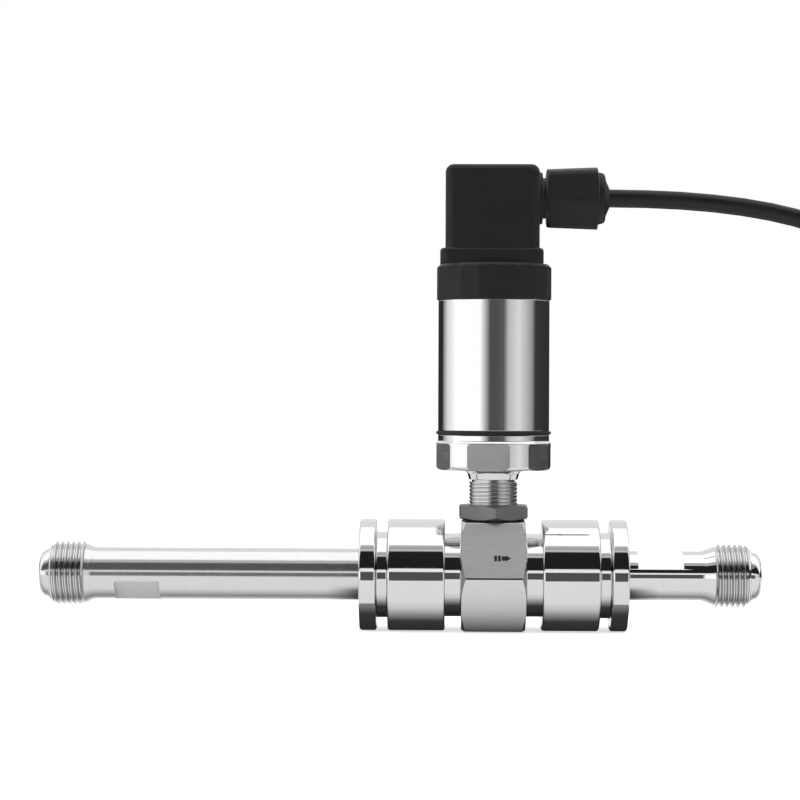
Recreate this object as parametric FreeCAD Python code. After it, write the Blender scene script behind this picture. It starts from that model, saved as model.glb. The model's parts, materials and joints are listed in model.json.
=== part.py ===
import FreeCAD, Part
import math
import os
from FreeCAD import Vector

# Turbine flow meter with a plug-in head. Millimetres.
# The pipe axis is X and the flow goes towards +X. The head stands up along Z at x = 0 while the pieces
# are modelled, and every piece is then moved so that x = 0 is the outer end of the inlet thread.

# Clearances
press_gap = 0.02
slide_gap = 0.05
turn_gap = 0.10
free_gap = 0.30

# Meter body
hex_across = 36.0
hex_length = 21.2
hex_chamfer_land = 0.3
neck_diameter = 27.7
neck_length = 5.4
spigot_diameter = 24.0
spigot_length = 13.8
root_fillet = 0.8
rotor_bore = 7.8
rotor_chamber_length = 14.0
hanger_bore = 8.6
pocket_floor_wall = 2.8

# Couplings: a ring, a groove and a disc with two spanner flats
coupling_diameter = 37.0
ring_length = 18.9
groove_length = 3.7
groove_diameter = 28.5
disc_length = 5.6
disc_spanner = 34.0
disc_flat_turn = 50.0
edge_chamfer = 0.6

# Pipes
pipe_bore = 4.0
inlet_pipe_diameter = 17.2
outlet_pipe_diameter = 16.4
inlet_run = 91.1
outlet_run = 28.8
inlet_relief = 2.5
outlet_relief = 4.0
relief_diameter = 19.5
thread_diameter = 20.955
thread_length = 12.0
nose_diameter = 16.0
nose_length = 3.5
nose_rounding = 1.8
bore_taper_length = 8.0
pipe_spanner = 14.0
pipe_flat_length = 15.0
inlet_flat_from_thread = 9.9
outlet_flat_from_disc = 3.5
pipe_flat_turn = 45.0

# Face seals between body and couplings
seal_section = 1.5
seal_groove_depth = 1.4
seal_wall = 0.95

# Hangers, circlips and rotor
hub_diameter = 3.6
hub_gap = 0.7
rotor_length = 5.0
rotor_diameter = 7.4
blade_count = 6
blade_thickness = 0.45
blade_twist = 42.0
blade_share_of_hub = 0.86
blade_stations = 5
blade_tip_spare = 0.4
hub_edge_rounding = 0.25
shaft_diameter = 1.0
shaft_end_play = 0.3
bush_diameter = 2.2
bush_length = 2.6
vane_count = 3
vane_thickness = 0.6
vane_length = 8.0
hub_tail = 4.0
circlip_thickness = 0.7
circlip_inner_diameter = 6.4
circlip_groove_depth = 0.4
circlip_mouth = 40.0
circlip_eye_diameter = 1.5
circlip_eye_hole = 0.7
circlip_eye_turn = 9.0
circlip_eye_inset = 0.2

# Pickup with its lock nut
barrel_diameter = 16.0
barrel_bore = 10.0
barrel_floor = 1.0
barrel_tip_rounding = 0.6
barrel_height_above_nut = 8.3
barrel_spigot_diameter = 14.0
barrel_spigot_length = 12.3
flat_seal_thickness = 0.6
flat_seal_diameter = 20.5
nut_height = 4.8
nut_across = 22.0
nut_turn = 3.0
nut_chamfer_land = 0.1
pole_diameter = 3.0
pole_length = 13.8
bobbin_diameter = 9.6
bobbin_wall = 0.8
bobbin_length = 11.4
winding_diameter = 8.6
magnet_diameter = 6.0
magnet_length = 6.0
lead_diameter = 0.8

# Housing of the head
housing_diameter = 37.0
base_cone_height = 3.2
base_cone_diameter = 19.0
base_height = 11.8
base_rounding = 1.4
housing_edge_chamfer = 0.3
base_flat_height = 8.9
base_flat_depth = 1.3
base_flat_turn = -6.0
base_flat_count = 6
base_spigot_height = 7.3
base_wall = 3.0
housing_seal_height = 1.2
housing_seal_bulge = 0.6
sleeve_length = 43.3
sleeve_wall = 1.5
collar_height = 11.9
collar_across = 37.6
collar_sides = 18
collar_turn = 4.0
collar_chamfer = 1.1
collar_spigot_height = 6.4

# Preamplifier board
board_rim_gap = 1.5
board_thickness = 1.6
standoff_height = 16.0
standoff_diameter = 5.0
standoff_edge = 3.0
standoff_count = 3
board_screw_diameter = 2.0
board_screw_length = 4.0
board_screw_head_diameter = 4.4
board_screw_head_height = 1.4
board_screw_slot = 0.6
chip_size = Vector(5.0, 4.0, 1.6)
chip_place = Vector(3.5, 2.5, 0)
trimmer_size = Vector(6.5, 6.5, 5.0)
trimmer_place = Vector(-3.0, 4.2, 0)
trimmer_screw_diameter = 2.2
trimmer_screw_height = 0.8
capacitor_diameter = 6.3
capacitor_height = 8.0
capacitor_place = Vector(6.5, -6.5, 0)
connector_lead_diameter = 1.2

# Connector insert and pins, form A
insert_diameter = 28.0
insert_depth = 15.0
pin_spacing = 18.0
pin_width = 6.3
pin_thickness = 0.8
pin_reach = 8.7
pin_tail = 4.0
centre_screw_diameter = 3.0

# Right-angle plug
plug_left = 16.2
plug_right = 14.7
plug_width = 29.0
plug_height = 32.4
plug_wall = 2.0
plug_rounding = 3.0
skirt_margin_left = 1.7
skirt_margin_right = 1.3
skirt_margin_side = 1.6
skirt_height = 4.9
skirt_rounding = 1.2
gasket_thickness = 1.2
gasket_opening = 20.4
block_width = 22.4
block_height = 16.4
contact_wall = 0.5
contact_height = 9.0
clamp_head_diameter = 4.4
clamp_head_height = 2.0
clamp_shank_diameter = 2.8
clamp_slot = 0.8
pillar_diameter = 10.0
pillar_height = 4.0
screw_head_diameter = 5.5
screw_head_height = 3.0
screw_head_sunk = 0.5
screw_depth_in_insert = 8.3
screw_slot_width = 0.8
screw_slot_depth = 1.2

# Cable gland on the plug
cable_diameter = 6.0
cable_drop = 10.2
boss_diameter = 17.3
boss_length = 1.3
gland_neck_diameter = 13.5
gland_neck_length = 10.7
gland_neck_bore = 10.4
nut_gap_from_boss = 1.25
gland_hex_length = 16.7
gland_dome_length = 2.8
gland_across = 19.5
gland_mouth_diameter = 13.2
gland_dome_diameter = 14.5
gland_dome_rounding = 1.2
gland_shoulder = 0.4
gland_corner_chamfer = 0.8
gland_washer_thickness = 0.8
gland_seal_nose_length = 1.4
gland_seal_nose_wall = 0.3
gland_seal_nose_rounding = 0.4
gland_seal_shank_length = 6.0
gland_turn = 2.0
cable_stub = 24.7

# Cable away from the head, from the exit of the gland to the top turn of the tied hank.
# The cable lies on the surface that touches the lowest point of the couplings.
route_from_exit = [
    (0.0, 0.0, 0.0),
    (51.0, 0.0, 0.0),
    (101.0, 3.0, -22.0),
    (120.5, 9.0, -66.0),
    (123.5, 15.5, -105.3),
    (135.7, 20.3, -123.9),
    (155.0, 23.0, -134.4),
    (176.3, 24.0, -134.8),
]
hank_centre_from_axis = 175.45
fold_radius = 18.0
waist_half_width = 3.0
waist_arc_radius = 36.0
waist_half_length = 2.0
tie_width = 8.0
tie_thickness = 0.8
hank_rim_chamfer = 1.5
tail_length = 26.0
core_length = 24.0
core_diameter = 1.9
ferrule_length = 7.0
ferrule_diameter = 1.3
core_spread = 3.75
core_tip_spread = 0.6
core_start_gap = 0.8
core_hump = 1.0
core_lead_in = 2.5

# Places that follow from the sizes above
hex_end = hex_length / 2
neck_end = hex_end + neck_length
ring_end = neck_end + ring_length
groove_end = ring_end + groove_length
disc_end = groove_end + disc_length
spigot_end = neck_end + spigot_length
seal_ring_diameter = spigot_diameter - 2 * seal_wall - seal_section
chamber_end = rotor_chamber_length / 2
coupling_shoulder = spigot_end + seal_section - seal_groove_depth
head_from_inlet = disc_end + inlet_run + thread_length

hex_top = hex_across / 2
pocket_floor = rotor_bore / 2 + pocket_floor_wall
barrel_tip = pocket_floor + free_gap
nut_bottom = hex_top + flat_seal_thickness
nut_top = nut_bottom + nut_height
barrel_shoulder = nut_top + barrel_height_above_nut
base_bottom = barrel_shoulder + base_cone_height
base_top = base_bottom + base_height
sleeve_bottom = base_top + housing_seal_height
sleeve_top = sleeve_bottom + sleeve_length
collar_top = sleeve_top + collar_height
plug_top = collar_top + plug_height
cable_axis = plug_top - cable_drop
base_cavity_floor = barrel_shoulder + barrel_spigot_length
base_spigot_top = base_top + base_spigot_height
inside_sleeve = housing_diameter / 2 - sleeve_wall
base_cavity_diameter = 2 * (inside_sleeve - base_wall)
housing_seal_diameter = housing_diameter + 2 * housing_seal_bulge
board_diameter = 2 * (inside_sleeve - board_rim_gap)
standoff_circle = base_cavity_diameter - 2 * standoff_edge
board_bottom = base_cavity_floor + standoff_height
board_top = board_bottom + board_thickness
hub_start = rotor_length / 2 + hub_gap
vane_end = chamber_end + vane_length
clip_start = vane_end + slide_gap
block_bottom = collar_top + gasket_thickness + turn_gap
block_top = block_bottom + block_height
boss_end = plug_right + boss_length
gland_nut_start = boss_end + nut_gap_from_boss
gland_hex_end = gland_nut_start + gland_hex_length
gland_nut_end = gland_hex_end + gland_dome_length
gland_neck_end = boss_end + gland_neck_length
cable_exit = gland_nut_end + gland_seal_nose_length
surface = -coupling_diameter / 2
pin_places = [(1, 0), (-1, 0), (0, 1), (0, -1)]


def bend(before, corner, after, radius):
    # The two tangent points and the middle of an arc of this radius at a corner.
    back = (before - corner).normalize()
    ahead = (after - corner).normalize()
    half = back.getAngle(ahead) / 2
    run = radius / math.tan(half)
    middle = (back + ahead).normalize() * (radius / math.sin(half) - radius)
    return corner + back * run, corner + middle, corner + ahead * run


def outline(corners):
    # A closed face in the XZ plane from (along, out) corners. A third value rounds the corner, or
    # chamfers it where it is negative.
    points = [Vector(c[0], 0, c[1]) for c in corners]
    softened = [c[2] if len(c) > 2 else 0 for c in corners]
    stops = []
    for i, point in enumerate(points):
        if softened[i]:
            after = points[(i + 1) % len(points)]
            start, middle, end = bend(points[i - 1], point, after, abs(softened[i]))
            stops.append((start, middle if softened[i] > 0 else None, end))
        else:
            stops.append((point, None, point))
    edges = []
    for i, (start, middle, end) in enumerate(stops):
        if middle:
            edges.append(Part.Arc(start, middle, end).toShape())
        elif start.distanceToPoint(end) > 1e-6:
            edges.append(Part.LineSegment(start, end).toShape())
        following = stops[(i + 1) % len(stops)][0]
        if end.distanceToPoint(following) > 1e-6:
            edges.append(Part.LineSegment(end, following).toShape())
    return Part.Face(Part.Wire(edges))


def turned_x(corners, height=0.0):
    # A turned piece along X, its axis at this height.
    solid = outline(corners).revolve(Vector(0, 0, 0), Vector(1, 0, 0), 360)
    return solid.translated(Vector(0, 0, height))


def turned_z(corners):
    # A turned piece along Z, from (height, radius) corners.
    upright = [(c[1], c[0]) + tuple(c[2:]) for c in corners]
    return outline(upright).revolve(Vector(0, 0, 0), Vector(0, 0, 1), 360)


def rod_x(diameter, start, end, y=0.0, z=0.0):
    return Part.makeCylinder(diameter / 2, end - start, Vector(start, y, z), Vector(1, 0, 0))


def rod_z(diameter, start, end, x=0.0, y=0.0):
    return Part.makeCylinder(diameter / 2, end - start, Vector(x, y, start))


def ring_z(outer, inner, start, end, x=0.0, y=0.0):
    return rod_z(outer, start, end, x, y).cut(rod_z(inner, start - 1, end + 1, x, y))


def block(x0, x1, y0, y1, z0, z1):
    return Part.makeBox(x1 - x0, y1 - y0, z1 - z0, Vector(x0, y0, z0))


def centred_block(width, depth, z0, z1, x=0.0, y=0.0):
    return block(x - width / 2, x + width / 2, y - depth / 2, y + depth / 2, z0, z1)


def prism_z(sides, across, start, end, turn):
    # A regular prism along Z with one corner facing -Y, turned by some degrees.
    radius = across / 2 / math.cos(math.pi / sides)
    corners = []
    for i in range(sides + 1):
        angle = math.radians(turn - 90 + 360 / sides * i)
        corners.append(Vector(radius * math.cos(angle), radius * math.sin(angle), start))
    face = Part.Face(Part.makePolygon(corners))
    return face.extrude(Vector(0, 0, end - start))


def prism_x(sides, across, start, end, turn, height=0.0):
    solid = prism_z(sides, across, start, end, turn)
    solid.rotate(Vector(0, 0, 0), Vector(0, 1, 0), 90)
    return solid.translated(Vector(0, 0, height))


def corner_envelope(across, sides, start, end, land, chamfer_angle=30.0):
    # The turned shape that trims the corners of a prism at both ends, as (along, out) corners.
    corner = across / 2 / math.cos(math.pi / sides) + land
    flat = across / 2 + land
    inset = (corner - flat) * math.tan(math.radians(chamfer_angle))
    return [
        (start, 0),
        (start, flat),
        (start + inset, corner),
        (end - inset, corner),
        (end, flat),
        (end, 0),
    ]


def with_flats(solid, start, end, across, diameter, turn):
    # Two parallel spanner flats on a piece along X. The front one looks down by turn degrees.
    for side in (0, 180):
        cutter = block(start, end, -diameter, -across / 2, -diameter, diameter)
        cutter.rotate(Vector(0, 0, 0), Vector(1, 0, 0), turn + side)
        solid = solid.cut(cutter)
    return solid


def on_side(solid, side):
    # Pieces on the inlet side are the mirror image of those on the outlet side.
    if side == "inlet":
        return solid.mirror(Vector(0, 0, 0), Vector(1, 0, 0))
    return solid


def path_radii(points):
    radii = []
    for i in range(1, len(points) - 1):
        before = points[i - 1] - points[i]
        after = points[i + 1] - points[i]
        half_turn = (math.pi - before.getAngle(after)) / 2
        radii.append(0.45 * min(before.Length, after.Length) / math.tan(half_turn))
    return radii


def tube(points, diameter):
    # A round tube along straight runs joined by tangent arcs. Returns the solid and its length.
    radii = path_radii(points)
    edges = []
    start = points[0]
    for i, radius in enumerate(radii):
        leave, middle, land = bend(points[i], points[i + 1], points[i + 2], radius)
        edges.append(Part.LineSegment(start, leave).toShape())
        edges.append(Part.Arc(leave, middle, land).toShape())
        start = land
    edges.append(Part.LineSegment(start, points[-1]).toShape())
    path = Part.Wire(edges)
    section = Part.Wire(Part.makeCircle(diameter / 2, points[0], points[1] - points[0]))
    return path.makePipeShell([section], True, False), path.Length


def meter_body():
    block_hex = prism_x(6, hex_across, -hex_end, hex_end, 0)
    envelope = corner_envelope(hex_across, 6, -hex_end, hex_end, hex_chamfer_land)
    block_hex = block_hex.common(turned_x(envelope))
    core = neck_diameter / 2 + 2 * root_fillet
    right = [
        (hex_end, core),
        (hex_end, neck_diameter / 2, root_fillet),
        (neck_end, neck_diameter / 2),
        (neck_end, spigot_diameter / 2),
        (spigot_end, spigot_diameter / 2),
        (spigot_end, 0),
    ]
    left = [(-c[0],) + c[1:] for c in reversed(right)]
    body = block_hex.fuse(turned_x(left + right))
    body = body.cut(rod_x(rotor_bore, -spigot_end - 1, spigot_end + 1))
    for side in ("inlet", "outlet"):
        bore = rod_x(hanger_bore, chamber_end, spigot_end + 1)
        clip_bore = hanger_bore + 2 * (circlip_groove_depth + press_gap)
        bore = bore.fuse(rod_x(clip_bore, vane_end, clip_start + circlip_thickness + slide_gap))
        middle = seal_ring_diameter / 2
        half = seal_section / 2 + press_gap
        groove = turned_x(
            [
                (spigot_end - seal_groove_depth, middle - half),
                (spigot_end - seal_groove_depth, middle + half),
                (spigot_end + 1, middle + half),
                (spigot_end + 1, middle - half),
            ]
        )
        body = body.cut(on_side(bore.fuse(groove), side))
    pocket = rod_z(barrel_diameter + 2 * slide_gap, pocket_floor, hex_top + 1)
    return body.cut(pocket).removeSplitter()


def coupling(side):
    bore = {"inlet": inlet_pipe_diameter, "outlet": outlet_pipe_diameter}[side]
    piece = turned_x(
        [
            (neck_end, spigot_diameter / 2 + press_gap),
            (neck_end, coupling_diameter / 2, -edge_chamfer),
            (ring_end, coupling_diameter / 2, -edge_chamfer),
            (ring_end, groove_diameter / 2),
            (groove_end, groove_diameter / 2),
            (groove_end, coupling_diameter / 2, -edge_chamfer),
            (disc_end, coupling_diameter / 2, -edge_chamfer),
            (disc_end, bore / 2 + press_gap),
            (coupling_shoulder, bore / 2 + press_gap),
            (coupling_shoulder, spigot_diameter / 2 + press_gap),
        ]
    )
    middle_of_groove = groove_end - groove_length / 2
    piece = with_flats(
        piece, middle_of_groove, disc_end + 1, disc_spanner, coupling_diameter, disc_flat_turn
    )
    return on_side(piece, side)


def pipe(side):
    # The pipe wall, its relief, the thread at its crest diameter and the nose, around one bore.
    inlet = side == "inlet"
    diameter = inlet_pipe_diameter if inlet else outlet_pipe_diameter
    relief = inlet_relief if inlet else outlet_relief
    thread_start = disc_end + (inlet_run if inlet else outlet_run)
    thread_end = thread_start + thread_length
    nose_end = thread_end + nose_length
    piece = turned_x(
        [
            (spigot_end + press_gap, hanger_bore / 2),
            (spigot_end + press_gap, diameter / 2),
            (thread_start - relief, diameter / 2),
            (thread_start, relief_diameter / 2),
            (thread_start, thread_diameter / 2),
            (thread_end, thread_diameter / 2),
            (thread_end, nose_diameter / 2),
            (nose_end, nose_diameter / 2, nose_rounding),
            (nose_end, pipe_bore / 2),
            (spigot_end + bore_taper_length, pipe_bore / 2),
        ]
    )
    if inlet:
        flat_end = thread_start - inlet_flat_from_thread
        flat_start = flat_end - pipe_flat_length
        turn = pipe_flat_turn
    else:
        flat_start = disc_end + outlet_flat_from_disc
        flat_end = flat_start + pipe_flat_length
        turn = -pipe_flat_turn
    piece = with_flats(piece, flat_start, flat_end, pipe_spanner, diameter, turn)
    return on_side(piece, side)


def face_seal(side):
    place = Vector(spigot_end - seal_groove_depth + seal_section / 2, 0, 0)
    ring = Part.makeTorus(seal_ring_diameter / 2, seal_section / 2, place, Vector(1, 0, 0))
    return on_side(ring, side)


def hanger(side):
    # A hub with a rounded nose, carried in the bore by radial vanes, with a seat for the bush.
    hub = turned_x(
        [
            (hub_start, 0),
            (hub_start, hub_diameter / 2),
            (vane_end, hub_diameter / 2, 2 * hub_diameter),
            (vane_end + hub_tail, hub_diameter / 12),
            (vane_end + hub_tail, 0),
        ]
    )
    envelope = rod_x(hanger_bore - 2 * press_gap, chamber_end, vane_end)
    for i in range(vane_count):
        vane = block(
            chamber_end, vane_end, -vane_thickness / 2, vane_thickness / 2, 0, hanger_bore / 2
        )
        vane.rotate(Vector(0, 0, 0), Vector(1, 0, 0), 360 / vane_count * i)
        hub = hub.fuse(vane.common(envelope))
    seat_end = hub_start + bush_length + shaft_end_play
    hub = hub.cut(rod_x(bush_diameter + 2 * press_gap, hub_start - 1, seat_end))
    return on_side(hub.removeSplitter(), side)


def bush(side):
    ring = rod_x(bush_diameter, hub_start, hub_start + bush_length)
    bore = rod_x(shaft_diameter + 2 * slide_gap, hub_start - 1, hub_start + bush_length + 1)
    return on_side(ring.cut(bore), side)


def circlip(side):
    # A spring ring with a mouth, and an eyelet each side of the mouth.
    end = clip_start + circlip_thickness
    outer = hanger_bore + 2 * circlip_groove_depth
    ring = rod_x(outer, clip_start, end)
    ring = ring.cut(rod_x(circlip_inner_diameter, clip_start - 1, end + 1))
    half = math.radians(circlip_mouth / 2)
    reach = outer
    corners = [
        Vector(clip_start - 1, 0, 0),
        Vector(clip_start - 1, reach * math.sin(half), -reach * math.cos(half)),
        Vector(clip_start - 1, -reach * math.sin(half), -reach * math.cos(half)),
        Vector(clip_start - 1, 0, 0),
    ]
    mouth = Part.Face(Part.makePolygon(corners)).extrude(Vector(circlip_thickness + 2, 0, 0))
    ring = ring.cut(mouth)
    eye_radius = (outer + circlip_inner_diameter) / 4 - circlip_eye_inset
    for way in (-1, 1):
        angle = half + math.radians(circlip_eye_turn)
        y = way * eye_radius * math.sin(angle)
        z = -eye_radius * math.cos(angle)
        eye = rod_x(circlip_eye_diameter, clip_start, end, y, z)
        hole = rod_x(circlip_eye_hole, clip_start - 1, end + 1, y, z)
        ring = ring.fuse(eye).cut(hole)
    return on_side(ring.removeSplitter(), side)


def rotor():
    # A hub with helical blades: each blade is lofted through sections that turn about the axis.
    hub_end = rotor_length / 2
    wheel = turned_x(
        [
            (-hub_end, 0),
            (-hub_end, hub_diameter / 2, hub_edge_rounding),
            (hub_end, hub_diameter / 2, hub_edge_rounding),
            (hub_end, 0),
        ]
    )
    blade_half = blade_share_of_hub * hub_end
    root = hub_diameter / 2 - blade_thickness
    beyond_tip = rotor_diameter / 2 + blade_tip_spare
    sections = []
    for i in range(blade_stations):
        share = i / (blade_stations - 1)
        x = -blade_half + 2 * blade_half * share
        angle = blade_twist * (share - 0.5)
        half = blade_thickness / 2
        corners = [
            Vector(x, -half, root),
            Vector(x, half, root),
            Vector(x, half, beyond_tip),
            Vector(x, -half, beyond_tip),
            Vector(x, -half, root),
        ]
        section = Part.makePolygon(corners)
        section.rotate(Vector(0, 0, 0), Vector(1, 0, 0), angle)
        sections.append(section)
    blade = Part.makeLoft(sections, True, False)
    tip = rod_x(rotor_diameter, -blade_half - 1, blade_half + 1)
    blade = blade.common(tip)
    for i in range(blade_count):
        turned = blade.copy()
        turned.rotate(Vector(0, 0, 0), Vector(1, 0, 0), 360 / blade_count * i)
        wheel = wheel.fuse(turned)
    return wheel.cut(rod_x(shaft_diameter + 2 * press_gap, -hub_end - 1, hub_end + 1))


def rotor_shaft():
    reach = hub_start + bush_length
    return rod_x(shaft_diameter, -reach, reach)


def pickup_seal():
    return ring_z(flat_seal_diameter, barrel_diameter + 2 * turn_gap, hex_top, nut_bottom)


def lock_nut():
    nut = prism_z(6, nut_across, nut_bottom, nut_top, nut_turn)
    envelope = corner_envelope(nut_across, 6, nut_bottom, nut_top, nut_chamfer_land)
    nut = nut.common(turned_z(envelope))
    return nut.cut(rod_z(barrel_diameter + 2 * slide_gap, nut_bottom - 1, nut_top + 1))


def pickup_barrel():
    # The threaded barrel at its crest diameter, closed at the tip and open towards the head.
    floor = barrel_tip + barrel_floor
    top = barrel_shoulder + barrel_spigot_length
    return turned_z(
        [
            (barrel_tip, 0),
            (barrel_tip, barrel_diameter / 2, barrel_tip_rounding),
            (barrel_shoulder, barrel_diameter / 2),
            (barrel_shoulder, barrel_spigot_diameter / 2),
            (top, barrel_spigot_diameter / 2),
            (top, barrel_bore / 2),
            (floor, barrel_bore / 2),
            (floor, 0),
        ]
    )


def pole_piece():
    start = barrel_tip + barrel_floor
    return rod_z(pole_diameter, start, start + pole_length)


def pickup_magnet():
    start = barrel_tip + barrel_floor + pole_length
    return rod_z(magnet_diameter, start, start + magnet_length)


def coil_bobbin():
    start = barrel_tip + barrel_floor + turn_gap
    end = start + bobbin_length
    bore = pole_diameter / 2 + press_gap
    return turned_z(
        [
            (start, bore),
            (start, bobbin_diameter / 2),
            (start + bobbin_wall, bobbin_diameter / 2),
            (start + bobbin_wall, bore + bobbin_wall),
            (end - bobbin_wall, bore + bobbin_wall),
            (end - bobbin_wall, bobbin_diameter / 2),
            (end, bobbin_diameter / 2),
            (end, bore),
        ]
    )


def coil_winding():
    start = barrel_tip + barrel_floor + turn_gap + bobbin_wall
    end = start + bobbin_length - 2 * bobbin_wall
    inner = pole_diameter + 4 * press_gap + 2 * bobbin_wall
    return ring_z(winding_diameter, inner, start + press_gap, end - press_gap)


def pickup_leads():
    # Two leads past the magnet, from the bobbin up to the board.
    start = barrel_tip + barrel_floor + turn_gap + bobbin_length
    place = (magnet_diameter + lead_diameter) / 2 + free_gap
    leads = [rod_z(lead_diameter, start, board_bottom, way * place) for way in (-1, 1)]
    return Part.makeCompound(leads)


def housing_base():
    piece = turned_z(
        [
            (barrel_shoulder, barrel_spigot_diameter / 2 + press_gap),
            (barrel_shoulder, barrel_diameter / 2),
            (base_bottom, base_cone_diameter / 2),
            (base_bottom, housing_diameter / 2, base_rounding),
            (base_top, housing_diameter / 2, -housing_edge_chamfer),
            (base_top, inside_sleeve - slide_gap),
            (base_spigot_top, inside_sleeve - slide_gap, -housing_edge_chamfer),
            (base_spigot_top, base_cavity_diameter / 2),
            (base_cavity_floor, base_cavity_diameter / 2),
            (base_cavity_floor, barrel_spigot_diameter / 2 + press_gap),
        ]
    )
    reach = housing_diameter
    for i in range(base_flat_count):
        front = -housing_diameter / 2 + base_flat_depth
        flat_top = base_bottom + base_flat_height
        cutter = block(-reach, reach, -reach, front, base_bottom - 1, flat_top)
        turn = base_flat_turn + 360 / base_flat_count * i
        cutter.rotate(Vector(0, 0, 0), Vector(0, 0, 1), turn)
        piece = piece.cut(cutter)
    return piece


def housing_o_ring():
    inner = inside_sleeve - slide_gap + press_gap
    half = housing_seal_height / 2 - press_gap
    return turned_z(
        [
            (base_top + press_gap, inner),
            (base_top + press_gap, housing_seal_diameter / 2, 0.9 * half),
            (sleeve_bottom - press_gap, housing_seal_diameter / 2, 0.9 * half),
            (sleeve_bottom - press_gap, inner),
        ]
    )


def housing_sleeve():
    return turned_z(
        [
            (sleeve_bottom, inside_sleeve),
            (sleeve_bottom, housing_diameter / 2, -housing_edge_chamfer),
            (sleeve_top, housing_diameter / 2, -housing_edge_chamfer),
            (sleeve_top, inside_sleeve),
        ]
    )


def standoff_places():
    places = []
    for i in range(standoff_count):
        angle = math.radians(30 + 360 / standoff_count * i)
        places.append((standoff_circle / 2 * math.cos(angle), standoff_circle / 2 * math.sin(angle)))
    return places


def preamp_board():
    board = rod_z(board_diameter, board_bottom, board_top)
    for x, y in standoff_places():
        hole = board_screw_diameter + 2 * turn_gap
        board = board.cut(rod_z(hole, board_bottom - 1, board_top + 1, x, y))
    for way in (-1, 1):
        place = (magnet_diameter + lead_diameter) / 2 + free_gap
        pad = rod_z(lead_diameter / 2, board_bottom - 1, board_top + 1, way * place)
        board = board.cut(pad)
    return board


def board_standoffs():
    posts = []
    for x, y in standoff_places():
        post = prism_z(6, standoff_diameter, base_cavity_floor, board_bottom, 0)
        post = post.translated(Vector(x, y, 0))
        hole_start = board_bottom - board_screw_length
        hole = rod_z(board_screw_diameter + 2 * press_gap, hole_start, board_bottom + 1, x, y)
        posts.append(post.cut(hole))
    return Part.makeCompound(posts)


def board_screws():
    screws = []
    for x, y in standoff_places():
        shank_start = board_bottom - board_screw_length + turn_gap
        shank = rod_z(board_screw_diameter, shank_start, board_top, x, y)
        head_end = board_top + board_screw_head_height
        head = rod_z(board_screw_head_diameter, board_top, head_end, x, y)
        slot = centred_block(
            board_screw_head_diameter + 1,
            board_screw_slot,
            head_end - board_screw_slot,
            head_end + 1,
            x,
            y,
        )
        screws.append(shank.fuse(head).cut(slot))
    return Part.makeCompound(screws)


def board_components():
    # An amplifier chip, a trimmer with its screw and two capacitors, each seated on the board.
    chip_top = board_top + chip_size.z
    chip = centred_block(chip_size.x, chip_size.y, board_top, chip_top, chip_place.x, chip_place.y)
    trimmer_top = board_top + trimmer_size.z
    x, y = trimmer_place.x, trimmer_place.y
    trimmer = centred_block(trimmer_size.x, trimmer_size.y, board_top, trimmer_top, x, y)
    screw_top = trimmer_top + trimmer_screw_height
    trimmer = trimmer.fuse(rod_z(trimmer_screw_diameter, trimmer_top, screw_top, x, y))
    parts = [chip, trimmer]
    for way in (-1, 1):
        x, y = way * capacitor_place.x, capacitor_place.y
        can = rod_z(capacitor_diameter, board_top, board_top + capacitor_height, x, y)
        parts.append(can)
    return Part.makeCompound(parts)


def pin_place(way):
    return way[0] * pin_spacing / 2, way[1] * pin_spacing / 2


def connector_leads():
    leads = []
    for way in pin_places[:3]:
        x, y = pin_place(way)
        end = collar_top - insert_depth - pin_tail
        leads.append(rod_z(connector_lead_diameter, board_top, end, x, y))
    return Part.makeCompound(leads)


def connector_collar():
    ring = prism_z(collar_sides, collar_across, sleeve_top, collar_top, collar_turn)
    edge = collar_across / 2 / math.cos(math.pi / collar_sides)
    envelope = turned_z(
        [
            (sleeve_top, 0),
            (sleeve_top, edge - collar_chamfer / 2),
            (sleeve_top + collar_chamfer / 2, edge),
            (collar_top - collar_chamfer, edge),
            (collar_top, edge - collar_chamfer),
            (collar_top, 0),
        ]
    )
    ring = ring.common(envelope)
    spigot = rod_z(2 * (inside_sleeve - slide_gap), sleeve_top - collar_spigot_height, sleeve_top)
    bore = rod_z(insert_diameter + 2 * press_gap, sleeve_top - collar_spigot_height - 1, plug_top)
    return ring.fuse(spigot).cut(bore).removeSplitter()


def pin_solid(way, start, end, margin=0.0):
    x, y = pin_place(way)
    along_x = pin_thickness if way[0] else pin_width
    along_y = pin_width if way[0] else pin_thickness
    return centred_block(along_x + 2 * margin, along_y + 2 * margin, start, end, x, y)


def connector_insert():
    bottom = collar_top - insert_depth
    insert = rod_z(insert_diameter, bottom, collar_top)
    hole = centre_screw_diameter + 2 * slide_gap
    insert = insert.cut(rod_z(hole, collar_top - screw_depth_in_insert - 1, collar_top + 1))
    for way in pin_places:
        insert = insert.cut(pin_solid(way, bottom - 1, collar_top + 1, press_gap))
    return insert


def contact_pins():
    pins = []
    for way in pin_places:
        start = collar_top - insert_depth - pin_tail
        pin = pin_solid(way, start, collar_top + pin_reach)
        tip_edges = [e for e in pin.Edges if e.BoundBox.ZMin > collar_top + pin_reach - 0.01]
        pins.append(pin.makeChamfer(pin_thickness / 4, tip_edges))
    return Part.makeCompound(pins)


def rounded_block(x0, x1, half_width, z0, z1, vertical, top):
    # A block with rounded upright edges and a rounded top.
    solid = block(x0, x1, -half_width, half_width, z0, z1)
    upright = [e for e in solid.Edges if e.BoundBox.ZLength > 0.5 * (z1 - z0)]
    solid = solid.makeFillet(vertical, upright)
    if top:
        rim = [e for e in solid.Edges if e.BoundBox.ZMin > z1 - 0.01]
        solid = solid.makeFillet(top, rim)
    return solid


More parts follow.
